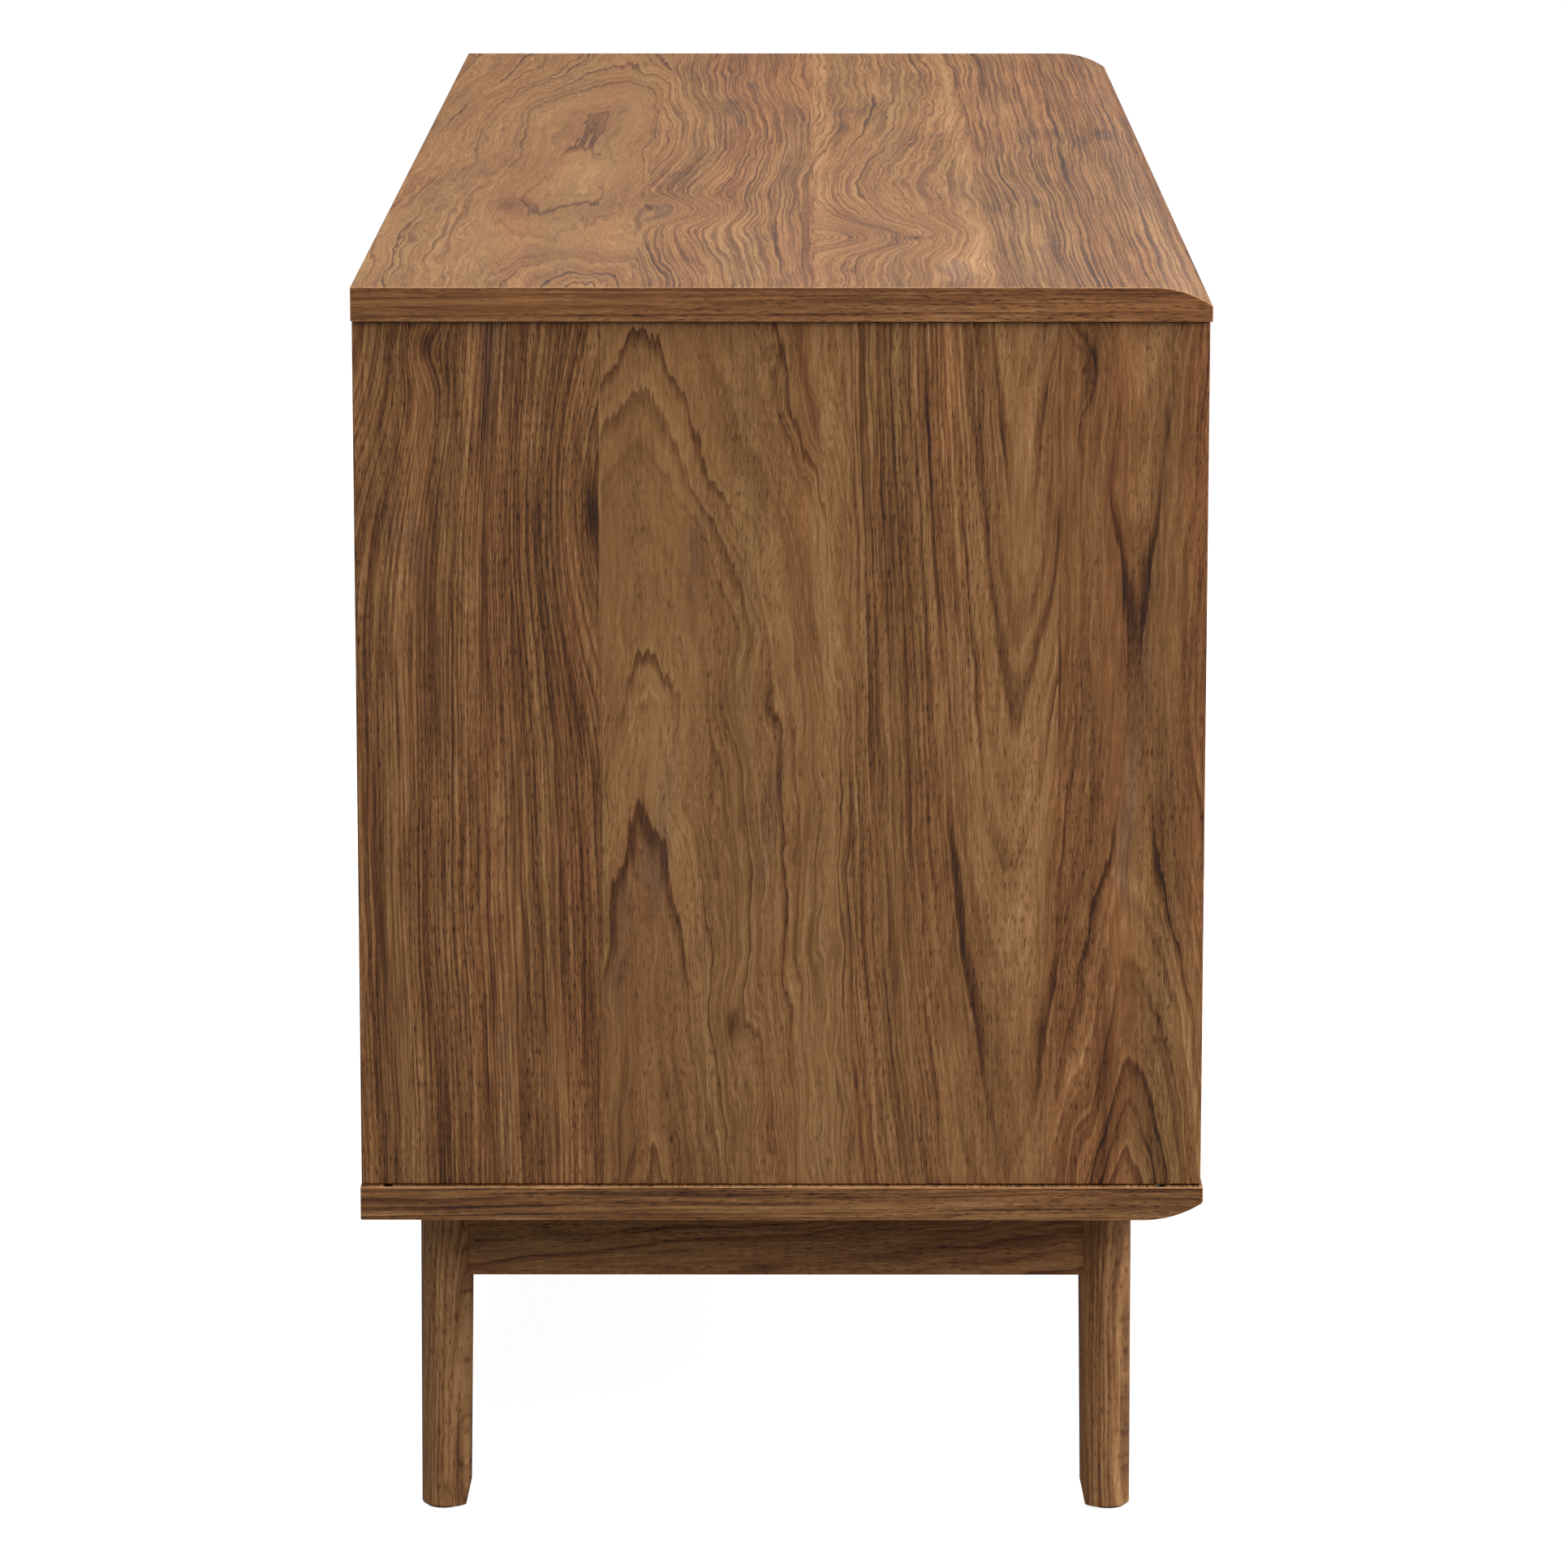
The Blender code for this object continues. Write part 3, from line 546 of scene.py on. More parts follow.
def walnut(name, axes, low, high, middle, leaves, knots=(), shades=(), seed=0.0, flip=1, stretch=1.0):
    """Walnut veneer on a board. axes names its across, along and through axes, such as "yzx". low and
    high are the two ends of its width, and middle the middle of its length. flip -1 lays the leaves
    from the high end. Knots push the rings aside, shades darken or, below 0, lighten the wood, and a
    stretch below 1 draws the figure out along the board."""
    material, tree, shader = new_material(name)
    here, turn = object_place(tree)
    across_axis, along_axis, through_axis = axes
    grain = place(
        tree, BOARD_GRAIN,
        **{"Across": here[across_axis], "Along": here[along_axis] - middle,
           "Through": here[through_axis], "Turn Across": turn[across_axis],
           "Turn Along": turn[along_axis], "Turn Through": turn[through_axis], "Seed": seed},
    )
    laid = (grain["across"] - (low if flip > 0 else high)) * float(flip)
    here_leaf = read_leaves(tree, laid, leaves, high - low)
    for key, value in STRAIGHT_LEAF.items():
        here_leaf[key] = blend(tree, grain["broad"], value, here_leaf[key])
    swell = 0.0
    if knots:
        swell = add_spots(laid, grain["along"], leaves, knots) * grain["broad"]
    if shades:
        shade = add_spots(laid, grain["along"], leaves, shades) * grain["broad"]
        here_leaf["Tone"] = here_leaf["Tone"] - shade
    figure = place(
        tree, WALNUT_FIGURE, Across=laid, Along=grain["along"], Seed=grain["seed"], Swell=swell,
        Stretch=stretch, **{key: here_leaf[key] for key in FIGURE_KEYS},
    )
    slip = figure.pop("slip")
    fibres = place(
        tree, WALNUT_FIBRES, Across=laid, Along=grain["along"], Seed=grain["seed"], Slip=slip
    )
    finish_walnut(tree, shader, fibres, **figure, **{key: here_leaf[key] for key in FINISH_KEYS})
    return material


def turned_walnut(name, seed):
    """Solid walnut for the legs, read from each leg's own upright coordinates, stored as "grain"."""
    material, tree, shader = new_material(name)
    across, through, along = parts_of(tree, attribute(tree, "grain", "Vector"))
    around = through * 0.83 + across * 0.56
    stock = leaf(
        0.0, Pith=-0.20, Depth=0.05, Wildness=0.45, Ring=0.0034, Tone=0.515, Redness=0.38, Fibres=0.95
    )
    figure = place(
        tree, WALNUT_FIGURE, Across=around, Along=along, Seed=seed, Swell=0.0, Stretch=1.0,
        **{key: stock[key] for key in FIGURE_KEYS},
    )
    slip = figure.pop("slip")
    fibres = place(tree, WALNUT_FIBRES, Across=around, Along=along, Seed=seed, Slip=slip)
    finish_walnut(tree, shader, fibres, **figure, **{key: stock[key] for key in FINISH_KEYS})
    return material


DEPTH_LOW, DEPTH_HIGH = CAD_LOW.y, CAD_HIGH.y

END_LEAVES = [
    leaf(0.000, Pith=-0.200, Depth=0.050, Wildness=0.30, Ring=0.0042, Tone=0.41, Redness=0.45,
         Bands=1.15, Lines=0.50, Threads=1.05, Fibres=1.15),
    leaf(0.113, Pith=0.136, Depth=0.034, Lean=0.16, Bow=0.25, Wildness=0.70, Ripple=2.6, Ring=0.0060,
         Tone=0.50, Redness=0.35, Bands=0.80, Lines=1.20, Threads=0.60, Fibres=0.75),
    leaf(0.229, Pith=0.303, Depth=0.030, Lean=-0.09, Wildness=0.50, Ripple=0.8, Ring=0.0070, Tone=0.48,
         Redness=0.42, Bands=1.55, Lines=1.10, Threads=1.1, Fibres=1.0),
    leaf(0.325, Pith=0.357, Depth=0.0404, Lean=0.06, Bow=-0.5, Wildness=0.50, Ripple=1.4, Ring=0.0062,
         Tone=0.44, Redness=0.48, Bands=1.35, Lines=1.30, Threads=0.9, Fibres=1.0),
]
# Knot: across, along, half width, half length, push
END_KNOTS = [
    (0.112, 0.118, 0.034, 0.075, 0.024),
    (0.000, 0.215, 0.052, 0.085, -0.036),
    (0.032, 0.192, 0.012, 0.018, 0.014),
    (0.174, -0.125, 0.010, 0.020, 0.008),
    (0.341, 0.185, 0.014, 0.030, 0.010),
    (0.345, -0.150, 0.010, 0.050, 0.006),
    (0.172, 0.150, 0.020, 0.045, 0.009),
]
# Shade: across, along, half width, half length, darkening
END_SHADES = [
    (0.1100, 0.116, 0.0042, 0.014, 0.36),
    (0.100, 0.000, 0.018, 0.400, 0.06),
    (0.033, 0.193, 0.0040, 0.007, 0.30),
    (0.1745, -0.127, 0.0025, 0.007, 0.34),
    (0.147, -0.010, 0.014, 0.080, -0.10),
    (0.150, 0.130, 0.016, 0.040, -0.06),
    (0.219, 0.080, 0.0060, 0.240, -0.13),
    (0.246, 0.040, 0.020, 0.260, 0.09),
    (0.294, 0.060, 0.012, 0.150, -0.06),
    (0.312, 0.020, 0.007, 0.300, -0.12),
    (0.391, -0.130, 0.004, 0.140, -0.12),
    (0.3405, 0.185, 0.0045, 0.016, 0.22),
    (0.348, -0.150, 0.0040, 0.050, 0.22),
    (0.343, -0.010, 0.0030, 0.040, 0.16),
    (0.374, -0.050, 0.0025, 0.060, 0.16),
    (0.358, -0.030, 0.0080, 0.040, -0.08),
]
TOP_LEAVES = [
    leaf(0.000, Pith=0.100, Depth=0.035, Lean=0.12, Wildness=1.6, Ripple=3.4, Ring=0.0048, Tone=0.45,
         Redness=0.30, Bands=0.65, Lines=1.05, Threads=0.50, Fibres=0.48),
    leaf(0.128, Pith=-0.10, Depth=0.060, Lean=0.02, Wildness=0.9, Ripple=1.2, Ring=0.0040, Tone=0.40,
         Redness=0.42, Bands=0.55, Lines=0.60, Threads=0.95, Fibres=0.50),
    leaf(0.212, Pith=0.330, Depth=0.020, Lean=0.05, Wildness=1.3, Ripple=2.0, Ring=0.0046, Tone=0.43,
         Redness=0.34, Bands=0.60, Lines=0.75, Threads=0.80, Fibres=0.45),
    leaf(0.298, Pith=0.100, Depth=0.050, Lean=0.02, Wildness=0.6, Ripple=0.9, Ring=0.0060, Tone=0.38,
         Redness=0.38, Bands=0.65, Lines=0.60, Threads=1.05, Fibres=0.55),
]
TOP_KNOTS = [
    (0.129, -0.273, 0.036, 0.050, -0.034),
    (0.235, -0.392, 0.045, 0.055, 0.030),
    (0.262, -0.395, 0.012, 0.014, -0.008),
    (0.240, -0.150, 0.040, 0.150, -0.014),
    (0.150, 0.020, 0.060, 0.220, -0.020),
    (0.090, -0.420, 0.035, 0.120, 0.030),
    (0.060, 0.250, 0.045, 0.200, -0.024),
]
TOP_SHADES = [
    (0.262, -0.395, 0.0050, 0.010, 0.30),
    (0.129, -0.262, 0.0060, 0.012, 0.24),
    (0.282, -0.500, 0.0140, 0.070, -0.16),
    (0.090, -0.080, 0.0200, 0.090, -0.10),
    (0.060, -0.250, 0.0060, 0.030, 0.14),
    (0.217, 0.000, 0.0060, 0.900, -0.10),
    (0.292, 0.100, 0.0060, 0.700, -0.12),
    (0.325, 0.050, 0.0200, 0.450, 0.05),
]
DOOR_LEAF_WIDTH = 0.150
DOOR_LEAVES = [
    leaf(number * DOOR_LEAF_WIDTH, Pith=number * DOOR_LEAF_WIDTH + pith, Depth=depth, Lean=lean,
         Wildness=wild, Ripple=wild, Ring=ring, Tone=tone, Redness=red)
    for number, (pith, depth, lean, wild, ring, tone, red) in enumerate([
        (-0.100, 0.050, 0.02, 0.4, 0.0045, 0.44, 0.45), (0.070, 0.034, 0.14, 0.6, 0.0070, 0.48, 0.35),
        (0.110, 0.030, -0.12, 0.5, 0.0062, 0.46, 0.50), (0.240, 0.050, 0.02, 0.4, 0.0050, 0.42, 0.55),
        (-0.080, 0.050, 0.03, 0.4, 0.0048, 0.45, 0.40), (0.090, 0.030, 0.12, 0.6, 0.0074, 0.48, 0.35),
        (0.050, 0.034, -0.14, 0.5, 0.0060, 0.45, 0.50), (0.260, 0.050, 0.02, 0.4, 0.0046, 0.42, 0.50),
    ])
]
RAIL_LEAVES = [
    leaf(0.0, Pith=0.100, Depth=0.030, Lean=0.08, Wildness=0.8, Ripple=1.0, Ring=0.0046, Tone=0.44,
         Redness=0.45),
]


# ---------------------------------------------------------------- other materials


def plain_finish(name, colour, roughness, speck_size, spread, relief, metallic=0.0, gloss=0.5):
    """A plain material whose colour, roughness and surface vary a little in a fine mottle. spread is how
    far the colour goes to either side, and relief the height of the bump in metres."""
    material, tree, shader = new_material(name)
    here, _ = object_place(tree)
    speck = noise(tree, here["x"] / speck_size, here["y"] / speck_size, here["z"] / speck_size, 3.0)
    cloud = noise(tree, here["x"] * 9.0, here["y"] * 9.0, here["z"] * 9.0, 2.0)
    dark = tuple(part * (1.0 - spread) for part in colour)
    light = tuple(min(1.0, part * (1.0 + spread)) for part in colour)
    share = speck * 0.8 + cloud * 0.2
    join(tree, colours(tree, share, [(0.3, dark), (0.7, light)], "LINEAR"), shader.inputs["Base Color"])
    join(tree, speck * 0.16 + (roughness - 0.08), shader.inputs["Roughness"])
    shader.inputs["Metallic"].default_value = metallic
    shader.inputs["Specular IOR Level"].default_value = gloss
    bump(tree, shader, speck, relief)
    return material


# ---------------------------------------------------------------- surfaces


def full_turn():
    """Angles round a full turn, the last one short of the first."""
    return np.linspace(0, 2 * math.pi, ROUND_STEPS + 1)[:-1]


def arc(centre, radius, start, end, steps, side=1):
    """Points and outward directions along an arc in a plane, angles in degrees. side -1 makes the arc
    hollow. A radius of 0 is a sharp corner, whose directions turn in place."""
    angle = np.radians(np.linspace(start, end, steps + 1))
    way = np.stack([np.cos(angle), np.sin(angle)], 1)
    return np.asarray(centre) + radius * way, way * side


def chain(*arcs):
    """Joins arcs into one outline, with straight lines between them."""
    return np.concatenate([a[0] for a in arcs]), np.concatenate([a[1] for a in arcs])


def box_outline(low, high, radius, steps=3):
    """A rectangle with eased corners, anticlockwise from its right side."""
    (u0, v0), (u1, v1) = low, high
    return chain(
        arc((u1 - radius, v1 - radius), radius, 0, 90, steps),
        arc((u0 + radius, v1 - radius), radius, 90, 180, steps),
        arc((u0 + radius, v0 + radius), radius, 180, 270, steps),
        arc((u1 - radius, v0 + radius), radius, 270, 360, steps),
    )


def stations(low, high, radius, inner=(), steps=3):
    """Where an outline is set down between low and high: its place, how far it draws in, and how much
    it faces along the path. Both ends are rounded: at angle a of the rounding it has moved on by radius
    times sin a and drawn in by radius times (1 - cos a)."""
    angle = np.radians(np.linspace(90, 0, steps + 1))
    along = radius * (1 - np.sin(angle))
    inset = radius * (1 - np.cos(angle))
    start = np.stack([low + along, inset, -np.sin(angle)], 1)
    end = np.stack([high - along, inset, np.sin(angle)], 1)[::-1]
    middle = np.array([[place_at, 0.0, 0.0] for place_at in inner]).reshape(-1, 3)
    return np.concatenate([start, middle, end])


def carry(outline, stops):
    """Sets an outline down at every stop. Returns points (stop, outline, 3) and directions, with the
    path along the first axis and the outline on the other two."""
    flat, ways = outline
    at, inset, face = stops[:, 0], stops[:, 1], stops[:, 2]
    points = np.zeros((len(stops), len(flat), 3))
    points[:, :, 0] = at[:, None]
    points[:, :, 1:] = flat[None] - ways[None] * inset[:, None, None]
    turns = np.zeros_like(points)
    turns[:, :, 0] = face[:, None]
    turns[:, :, 1:] = ways[None] * across_share(stops)[:, None, None]
    return points, turns


def across_share(stops):
    """How much a surface at each stop faces across the path."""
    return np.sqrt(np.clip(1 - stops[:, 2] ** 2, 0, 1))


def add_piece(name, node, body, material, points, turns=None, caps=True, soften=30,
              arris=None):
    """Makes a mesh from a grid of points: rows along the path and columns round the outline. The columns
    join up, and caps shut the first and last rows. Points that fall together become one vertex, and
    faces that shrink to nothing are dropped. turns gives each point's outward direction, and the last
    grid how much paler the finish is painted there, as a painted highlight, or below 0 how much darker,
    as painted shade. The piece stands for a CAD node."""
    rows, columns = points.shape[:2]
    place_of = points.reshape(-1, 3)
    _, first, merged = np.unique(
        np.round(place_of, 7), axis=0, return_index=True, return_inverse=True
    )
    merged = merged.reshape(-1)
    ids = np.arange(rows * columns).reshape(rows, columns)
    beside = np.roll(ids, -1, 1)
    quads = np.stack([ids[:-1], beside[:-1], beside[1:], ids[1:]], -1).reshape(-1, 4)
    faces = [list(face) for face in quads]
    if caps:
        faces += [list(ids[0][::-1]), list(ids[-1])]
    faces = [tidy_face(face, merged) for face in faces]
    faces = [face for face in faces if len(face) > 2]
    mesh = bpy.data.meshes.new(name)
    mesh.from_pydata(place_of[first].tolist(), [], [[int(merged[i]) for i in face] for face in faces])
    if mesh.validate():
        mesh.update()
    if turns is not None:
        corner_ways = turns.reshape(-1, 3)
        first_cap = len(faces) - 2
        ways = [corner_ways[i] for face in faces[:first_cap] for i in face]
        ways += [(-1.0, 0.0, 0.0)] * len(faces[first_cap])
        ways += [(1.0, 0.0, 0.0)] * len(faces[first_cap + 1])
        mesh.shade_smooth()
        mesh.normals_split_custom_set([tuple(way) for way in ways])
    # Painted highlight and painted shade, stored for the walnut finish to read
    if arris is not None:
        mark = mesh.attributes.new("arris", "FLOAT", "POINT")
        mark.data.foreach_set("value", arris.reshape(-1)[first].astype(np.float32))
    if turns is None:
        outward(mesh, soften)
    return finish_piece(name, node, body, material, mesh)


def tidy_face(face, merged):
    """A face without the corners that fall on the corner before them."""
    return [i for k, i in enumerate(face) if merged[i] != merged[face[k - 1]]]


def finish_piece(name, node, body, material, mesh):
    """Makes the object, puts it on the body it rides on, gives it its finish and hides the CAD node it
    stands for.
    """
    obj = bpy.data.objects.new(name, mesh)
    bpy.context.scene.collection.objects.link(obj)
    mesh.materials.append(material)
    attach(obj, body)
    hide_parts(node)
    return obj


def outward(mesh, soften):
    """Turns a closed mesh's faces outwards, and keeps creases sharper than soften degrees."""
    bm = bmesh.new()
    bm.from_mesh(mesh)
    bmesh.ops.recalc_face_normals(bm, faces=bm.faces)
    bm.to_mesh(mesh)
    bm.free()
    mesh.shade_smooth()
    mesh.set_sharp_from_angle(angle=math.radians(soften))


# ---------------------------------------------------------------- case


def middle_line(node):
    """The Y of a node's middle."""
    low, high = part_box(node)
    return (low.y + high.y) / 2


def nosed_panel(node, material, flip, track_depth):
    """The top panel, or with flip -1 the bottom one: the outline of a board whose upper front corner is
    a long arc, carried along the length. A groove is (middle, width, depth, reach): its four corners lie
    in the lower face, and beyond its reach they come up flush with it."""
    low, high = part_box(node)
    grooves = sorted([
        (middle_line("track_lower_front"), TRACK_SLOT, track_depth, GROOVE_END),
        (middle_line("track_lower_rear"), TRACK_SLOT, track_depth, REAR_GROOVE_END),
        (middle_line("back_panel_left"), BACK_SLOT, BACK_DEPTH, GROOVE_END),
    ])
    half = (high.z - low.z) / 2
    middle = (high.z + low.z) / 2
    radius = (NOSE_RUN**2 + NOSE_DROP**2) / (2 * NOSE_DROP)
    front, back = low.y, high.y
    r = ARRIS
    sweep = math.asin((NOSE_RUN - NOSE_TIP) / (radius - NOSE_TIP))
    tip = half - radius + (radius - NOSE_TIP) * math.cos(sweep)
    sweep = math.degrees(sweep)
    arcs = [
        arc((back - r, half - r), r, 0, 90, 3),
        arc((front + NOSE_RUN, half - radius), radius, 90, 90 + sweep, 18),
        arc((front + NOSE_TIP, tip), NOSE_TIP, 90 + sweep, 180, 6),
        arc((front + r, -half + r), r, 180, 270, 3),
    ]
    marks = [np.zeros(len(a[0]), int) for a in arcs]
    for number, (line, width, depth, _) in enumerate(grooves, 1):
        u0, u1 = line - width / 2, line + width / 2
        walls = [
            arc((u0, -half), 0.0, 270, 360, 1),
            arc((u0, -half + depth), 0.0, 180, 90, 1, -1),
            arc((u1, -half + depth), 0.0, 90, 0, 1, -1),
            arc((u1, -half), 0.0, 180, 270, 1),
        ]
        arcs += walls
        marks += [np.full(len(a[0]), number) for a in walls]
    arcs.append(arc((back - r, -half + r), r, 270, 360, 3))
    marks.append(np.zeros(4, int))
    outline, ways = chain(*arcs)
    mark = np.concatenate(marks)
    reaches = sorted({groove[3] for groove in grooves})
    cuts = []
    for reach in reaches:
        cuts += [-reach - GROOVE_WALL, -reach, reach, reach + GROOVE_WALL]
    stops = stations(low.x, high.x, r, sorted(cuts))
    points, turns = carry((outline, ways), stops)
    for number, (_, _, _, reach) in enumerate(grooves, 1):
        shut = (np.abs(stops[:, 0]) > reach)[:, None] & (mark == number)[None]
        points[..., 1][shut] = np.broadcast_to(outline[:, 0], shut.shape)[shut]
        points[..., 2][shut] = np.broadcast_to(stops[:, 1:2] - half, shut.shape)[shut]
        turns[..., 1][shut] = 0.0
        turns[..., 2][shut] = -across_share(stops)[:, None].repeat(len(mark), 1)[shut]
    # Painted highlight along the rounded arrises at the board's ends, strongest halfway round, and
    # painted light on the bottom panel's ledge past the end panels, partly its paler raw edge
    painted_highlight = 2 * np.abs(stops[:, 2:]) * across_share(stops)[:, None] + np.zeros(len(mark))
    ledge = (np.abs(stops[:, :1]) > GROOVE_END) & (turns[..., 2] < -0.5) & (flip < 0)
    painted_highlight = np.maximum(painted_highlight, LEDGE_PAINTED_LIGHT * ledge)
    points[..., 2] = points[..., 2] * flip + middle
    turns[..., 2] *= flip
    if flip < 0:
        points, turns, painted_highlight = points[:, ::-1], turns[:, ::-1], painted_highlight[:, ::-1]
    return add_piece(f"{node}_skin", node, "case", material, points, turns, arris=painted_highlight)


def leg_line(row, end):
    """The leg's axis at the underside of the case and at the foot, from its CAD node's box."""
    low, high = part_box(f"leg_{row}_{end}")
    side = ENDS[end]
    foot_half = LEG_FOOT_RADIUS / math.cos(SPLAY)
    foot_x = (high.x if side > 0 else low.x) - side * foot_half
    drop = high.z - low.z
    top_x = foot_x - side * drop * math.tan(SPLAY)
    return low, high, foot_x, top_x


def leg(row, end, material):
    """A round tapered leg. At each height it is an ellipse, the slanted cone cut level. The foot's edge
    is eased, and a flat bevel rises on the side that looks at the other leg."""
    low, high, foot_x, top_x = leg_line(row, end)
    inward = 1 if row == "front" else -1
    line = (low.y + high.y) / 2
    top_radius = (high.y - low.y) / 2
    height = high.z - low.z
    ease = FOOT_EASE
    rows = np.concatenate([
        ease * (1 - np.cos(np.linspace(0, math.pi / 2, 5))),
        np.linspace(ease, FOOT_BEVEL_HEIGHT, 14)[1:],
        np.linspace(FOOT_BEVEL_HEIGHT, height, 12)[1:],
    ])
    angle = full_turn()
    share = rows / height
    radius = LEG_FOOT_RADIUS + (top_radius - LEG_FOOT_RADIUS) * share
    radius = radius - (ease - np.sqrt(np.maximum(ease**2 - np.maximum(ease - rows, 0) ** 2, 0)))
    wide = radius[:, None] * np.cos(angle)[None] / math.cos(SPLAY)
    deep = radius[:, None] * np.sin(angle)[None]
    limit = LEG_FOOT_RADIUS - FOOT_BEVEL_DEPTH * (1 - rows / FOOT_BEVEL_HEIGHT)
    bevel = np.where(rows < FOOT_BEVEL_HEIGHT, limit, 1.0)[:, None]
    deep = np.minimum(deep, bevel)
    centre = foot_x + (top_x - foot_x) * share
    points = np.zeros((len(rows), len(angle), 3))
    points[..., 0] = centre[:, None] + wide
    points[..., 1] = line + deep * inward
    points[..., 2] = low.z + rows[:, None]
    obj = add_piece(
        f"turned_leg_{row}_{end}", f"leg_{row}_{end}", "case", material, points, soften=22
    )
    places = np.zeros(len(obj.data.vertices) * 3)
    obj.data.vertices.foreach_get("co", places)
    places = places.reshape(-1, 3)
    shift = 0.31 * (1 + ROWS.index(row)) + 0.17 * (1 + ENDS[end])
    up = places[:, 2] - low.z
    own = np.stack([
        places[:, 0] - (foot_x + (top_x - foot_x) * up / height), places[:, 1] - line, up + shift
    ], 1)
    grain = obj.data.attributes.new("grain", "FLOAT_VECTOR", "POINT")
    grain.data.foreach_set("vector", own.astype(np.float32).ravel())
    return obj


def apron(end, material):
    """The rail between two legs: an eased slanted section carried from one leg to the other. Where it
    meets a leg it is hollowed to fit: its end lies at the root of (radius squared - across squared) from
    the leg's axis, across being the distance from the plane of the two axes."""
    node = f"apron_{end}"
    low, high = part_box(node)
    side = ENDS[end]
    front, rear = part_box(f"leg_front_{end}"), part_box(f"leg_rear_{end}")
    radius = (front[1].y - front[0].y) / 2 + COPE_GAP
    lines = [(pair[0].y + pair[1].y) / 2 for pair in (front, rear)]
    half = (high.x - low.x - (high.z - low.z) * math.tan(SPLAY)) / 2
    tall = high.z - low.z
    u, v = box_outline((-half, 0.0), (half, tall), ARRIS)[0].T
    share = np.linspace(0, 1, 9)
    reach = np.sqrt(radius**2 - (u * math.cos(SPLAY)) ** 2)
    begin, finish_at = lines[0] + reach, lines[1] - reach
    points = np.zeros((len(share), len(u), 3))
    points[..., 1] = begin[None] + (finish_at - begin)[None] * share[:, None]
    bottom_x = (high.x if side > 0 else low.x) - side * half
    points[..., 0] = (bottom_x + u - side * v * math.tan(SPLAY))[None]
    points[..., 2] = (low.z + v)[None]
    return add_piece(f"rail_{end}", node, "case", material, points, soften=25)


# ---------------------------------------------------------------- doors


def cut_out(obj, tool):
    """Takes a closed shape out of a piece, for good."""
    cut = obj.modifiers.new("cut", "BOOLEAN")
    cut.operation = "DIFFERENCE"
    cut.solver = "EXACT"
    cut.object = tool
    graph = bpy.context.evaluated_depsgraph_get()
    mesh = bpy.data.meshes.new_from_object(obj.evaluated_get(graph))
    obj.modifiers.clear()
    obj.data = mesh
    bpy.data.objects.remove(tool)


def round_tool(centre, radius, depth):
    """A closed cylinder along Y about a centre, as a cutting tool."""
    angle = full_turn()
    points = np.zeros((2, len(angle), 3))
    points[..., 0] = centre[0] + radius * np.cos(angle)[None]
    points[..., 2] = centre[2] + radius * np.sin(angle)[None]
    points[..., 1] = centre[1] + np.array([[-depth], [depth]])
    return tool_object(points)


def box_tool(low, high):
    """A closed box as a cutting tool."""
    corners, _ = box_outline((low[1], low[2]), (high[1], high[2]), 0.0, 1)
    points = np.zeros((2, len(corners), 3))
    points[..., 0] = np.array([[low[0]], [high[0]]])
    points[..., 1:] = corners[None]
    return tool_object(points)


def tool_object(points):
    """A closed prism between two rings of points. Points that fall together are merged."""
    count = points.shape[1]
    ring = np.arange(count)
    beside = np.roll(ring, -1)
    faces = np.stack([ring, beside, beside + count, ring + count], 1).tolist()
    faces += [ring[::-1].tolist(), (ring + count).tolist()]
    mesh = bpy.data.meshes.new("tool")
    mesh.from_pydata(points.reshape(-1, 3).tolist(), [], faces)
    bm = bmesh.new()
    bm.from_mesh(mesh)
    bmesh.ops.remove_doubles(bm, verts=bm.verts, dist=1e-6)
    bmesh.ops.recalc_face_normals(bm, faces=bm.faces)
    bm.to_mesh(mesh)
    bm.free()
    tool = bpy.data.objects.new("tool", mesh)
    bpy.context.scene.collection.objects.link(tool)
    return tool


def reeded_front(low, high, side):
    """The door's front line from above, from its low to its high X. Between a wide plain stile that holds
    the pull and a narrow one it is a row of reeds: across each reed the face goes back by the depth times
    (1 - the root of (1 - t squared)), where t runs from -1 to 1, so that reeds are round and meet in a
    sharp valley."""
    wide, narrow = WIDE_STILE, NARROW_STILE
    start = low.x + (narrow if side > 0 else wide)
    end = high.x - (wide if side > 0 else narrow)
    count = max(1, round((end - start) / REED_PITCH))
    edges = np.linspace(start, end, count + 1)
    t = np.sin(np.linspace(-math.pi / 2, math.pi / 2, 15))
    x = (edges[:-1, None] + edges[1:, None]) / 2 + (edges[1] - edges[0]) / 2 * t[None]
    y = low.y + REED_DEPTH * (1 - np.sqrt(1 - (t * REED_ROUND) ** 2))[None].repeat(count, 0)
    x = np.concatenate([[start - REED_STEP], x.ravel(), [end + REED_STEP]])
    y = np.concatenate([[low.y], y.ravel(), [low.y]])
    return x, y


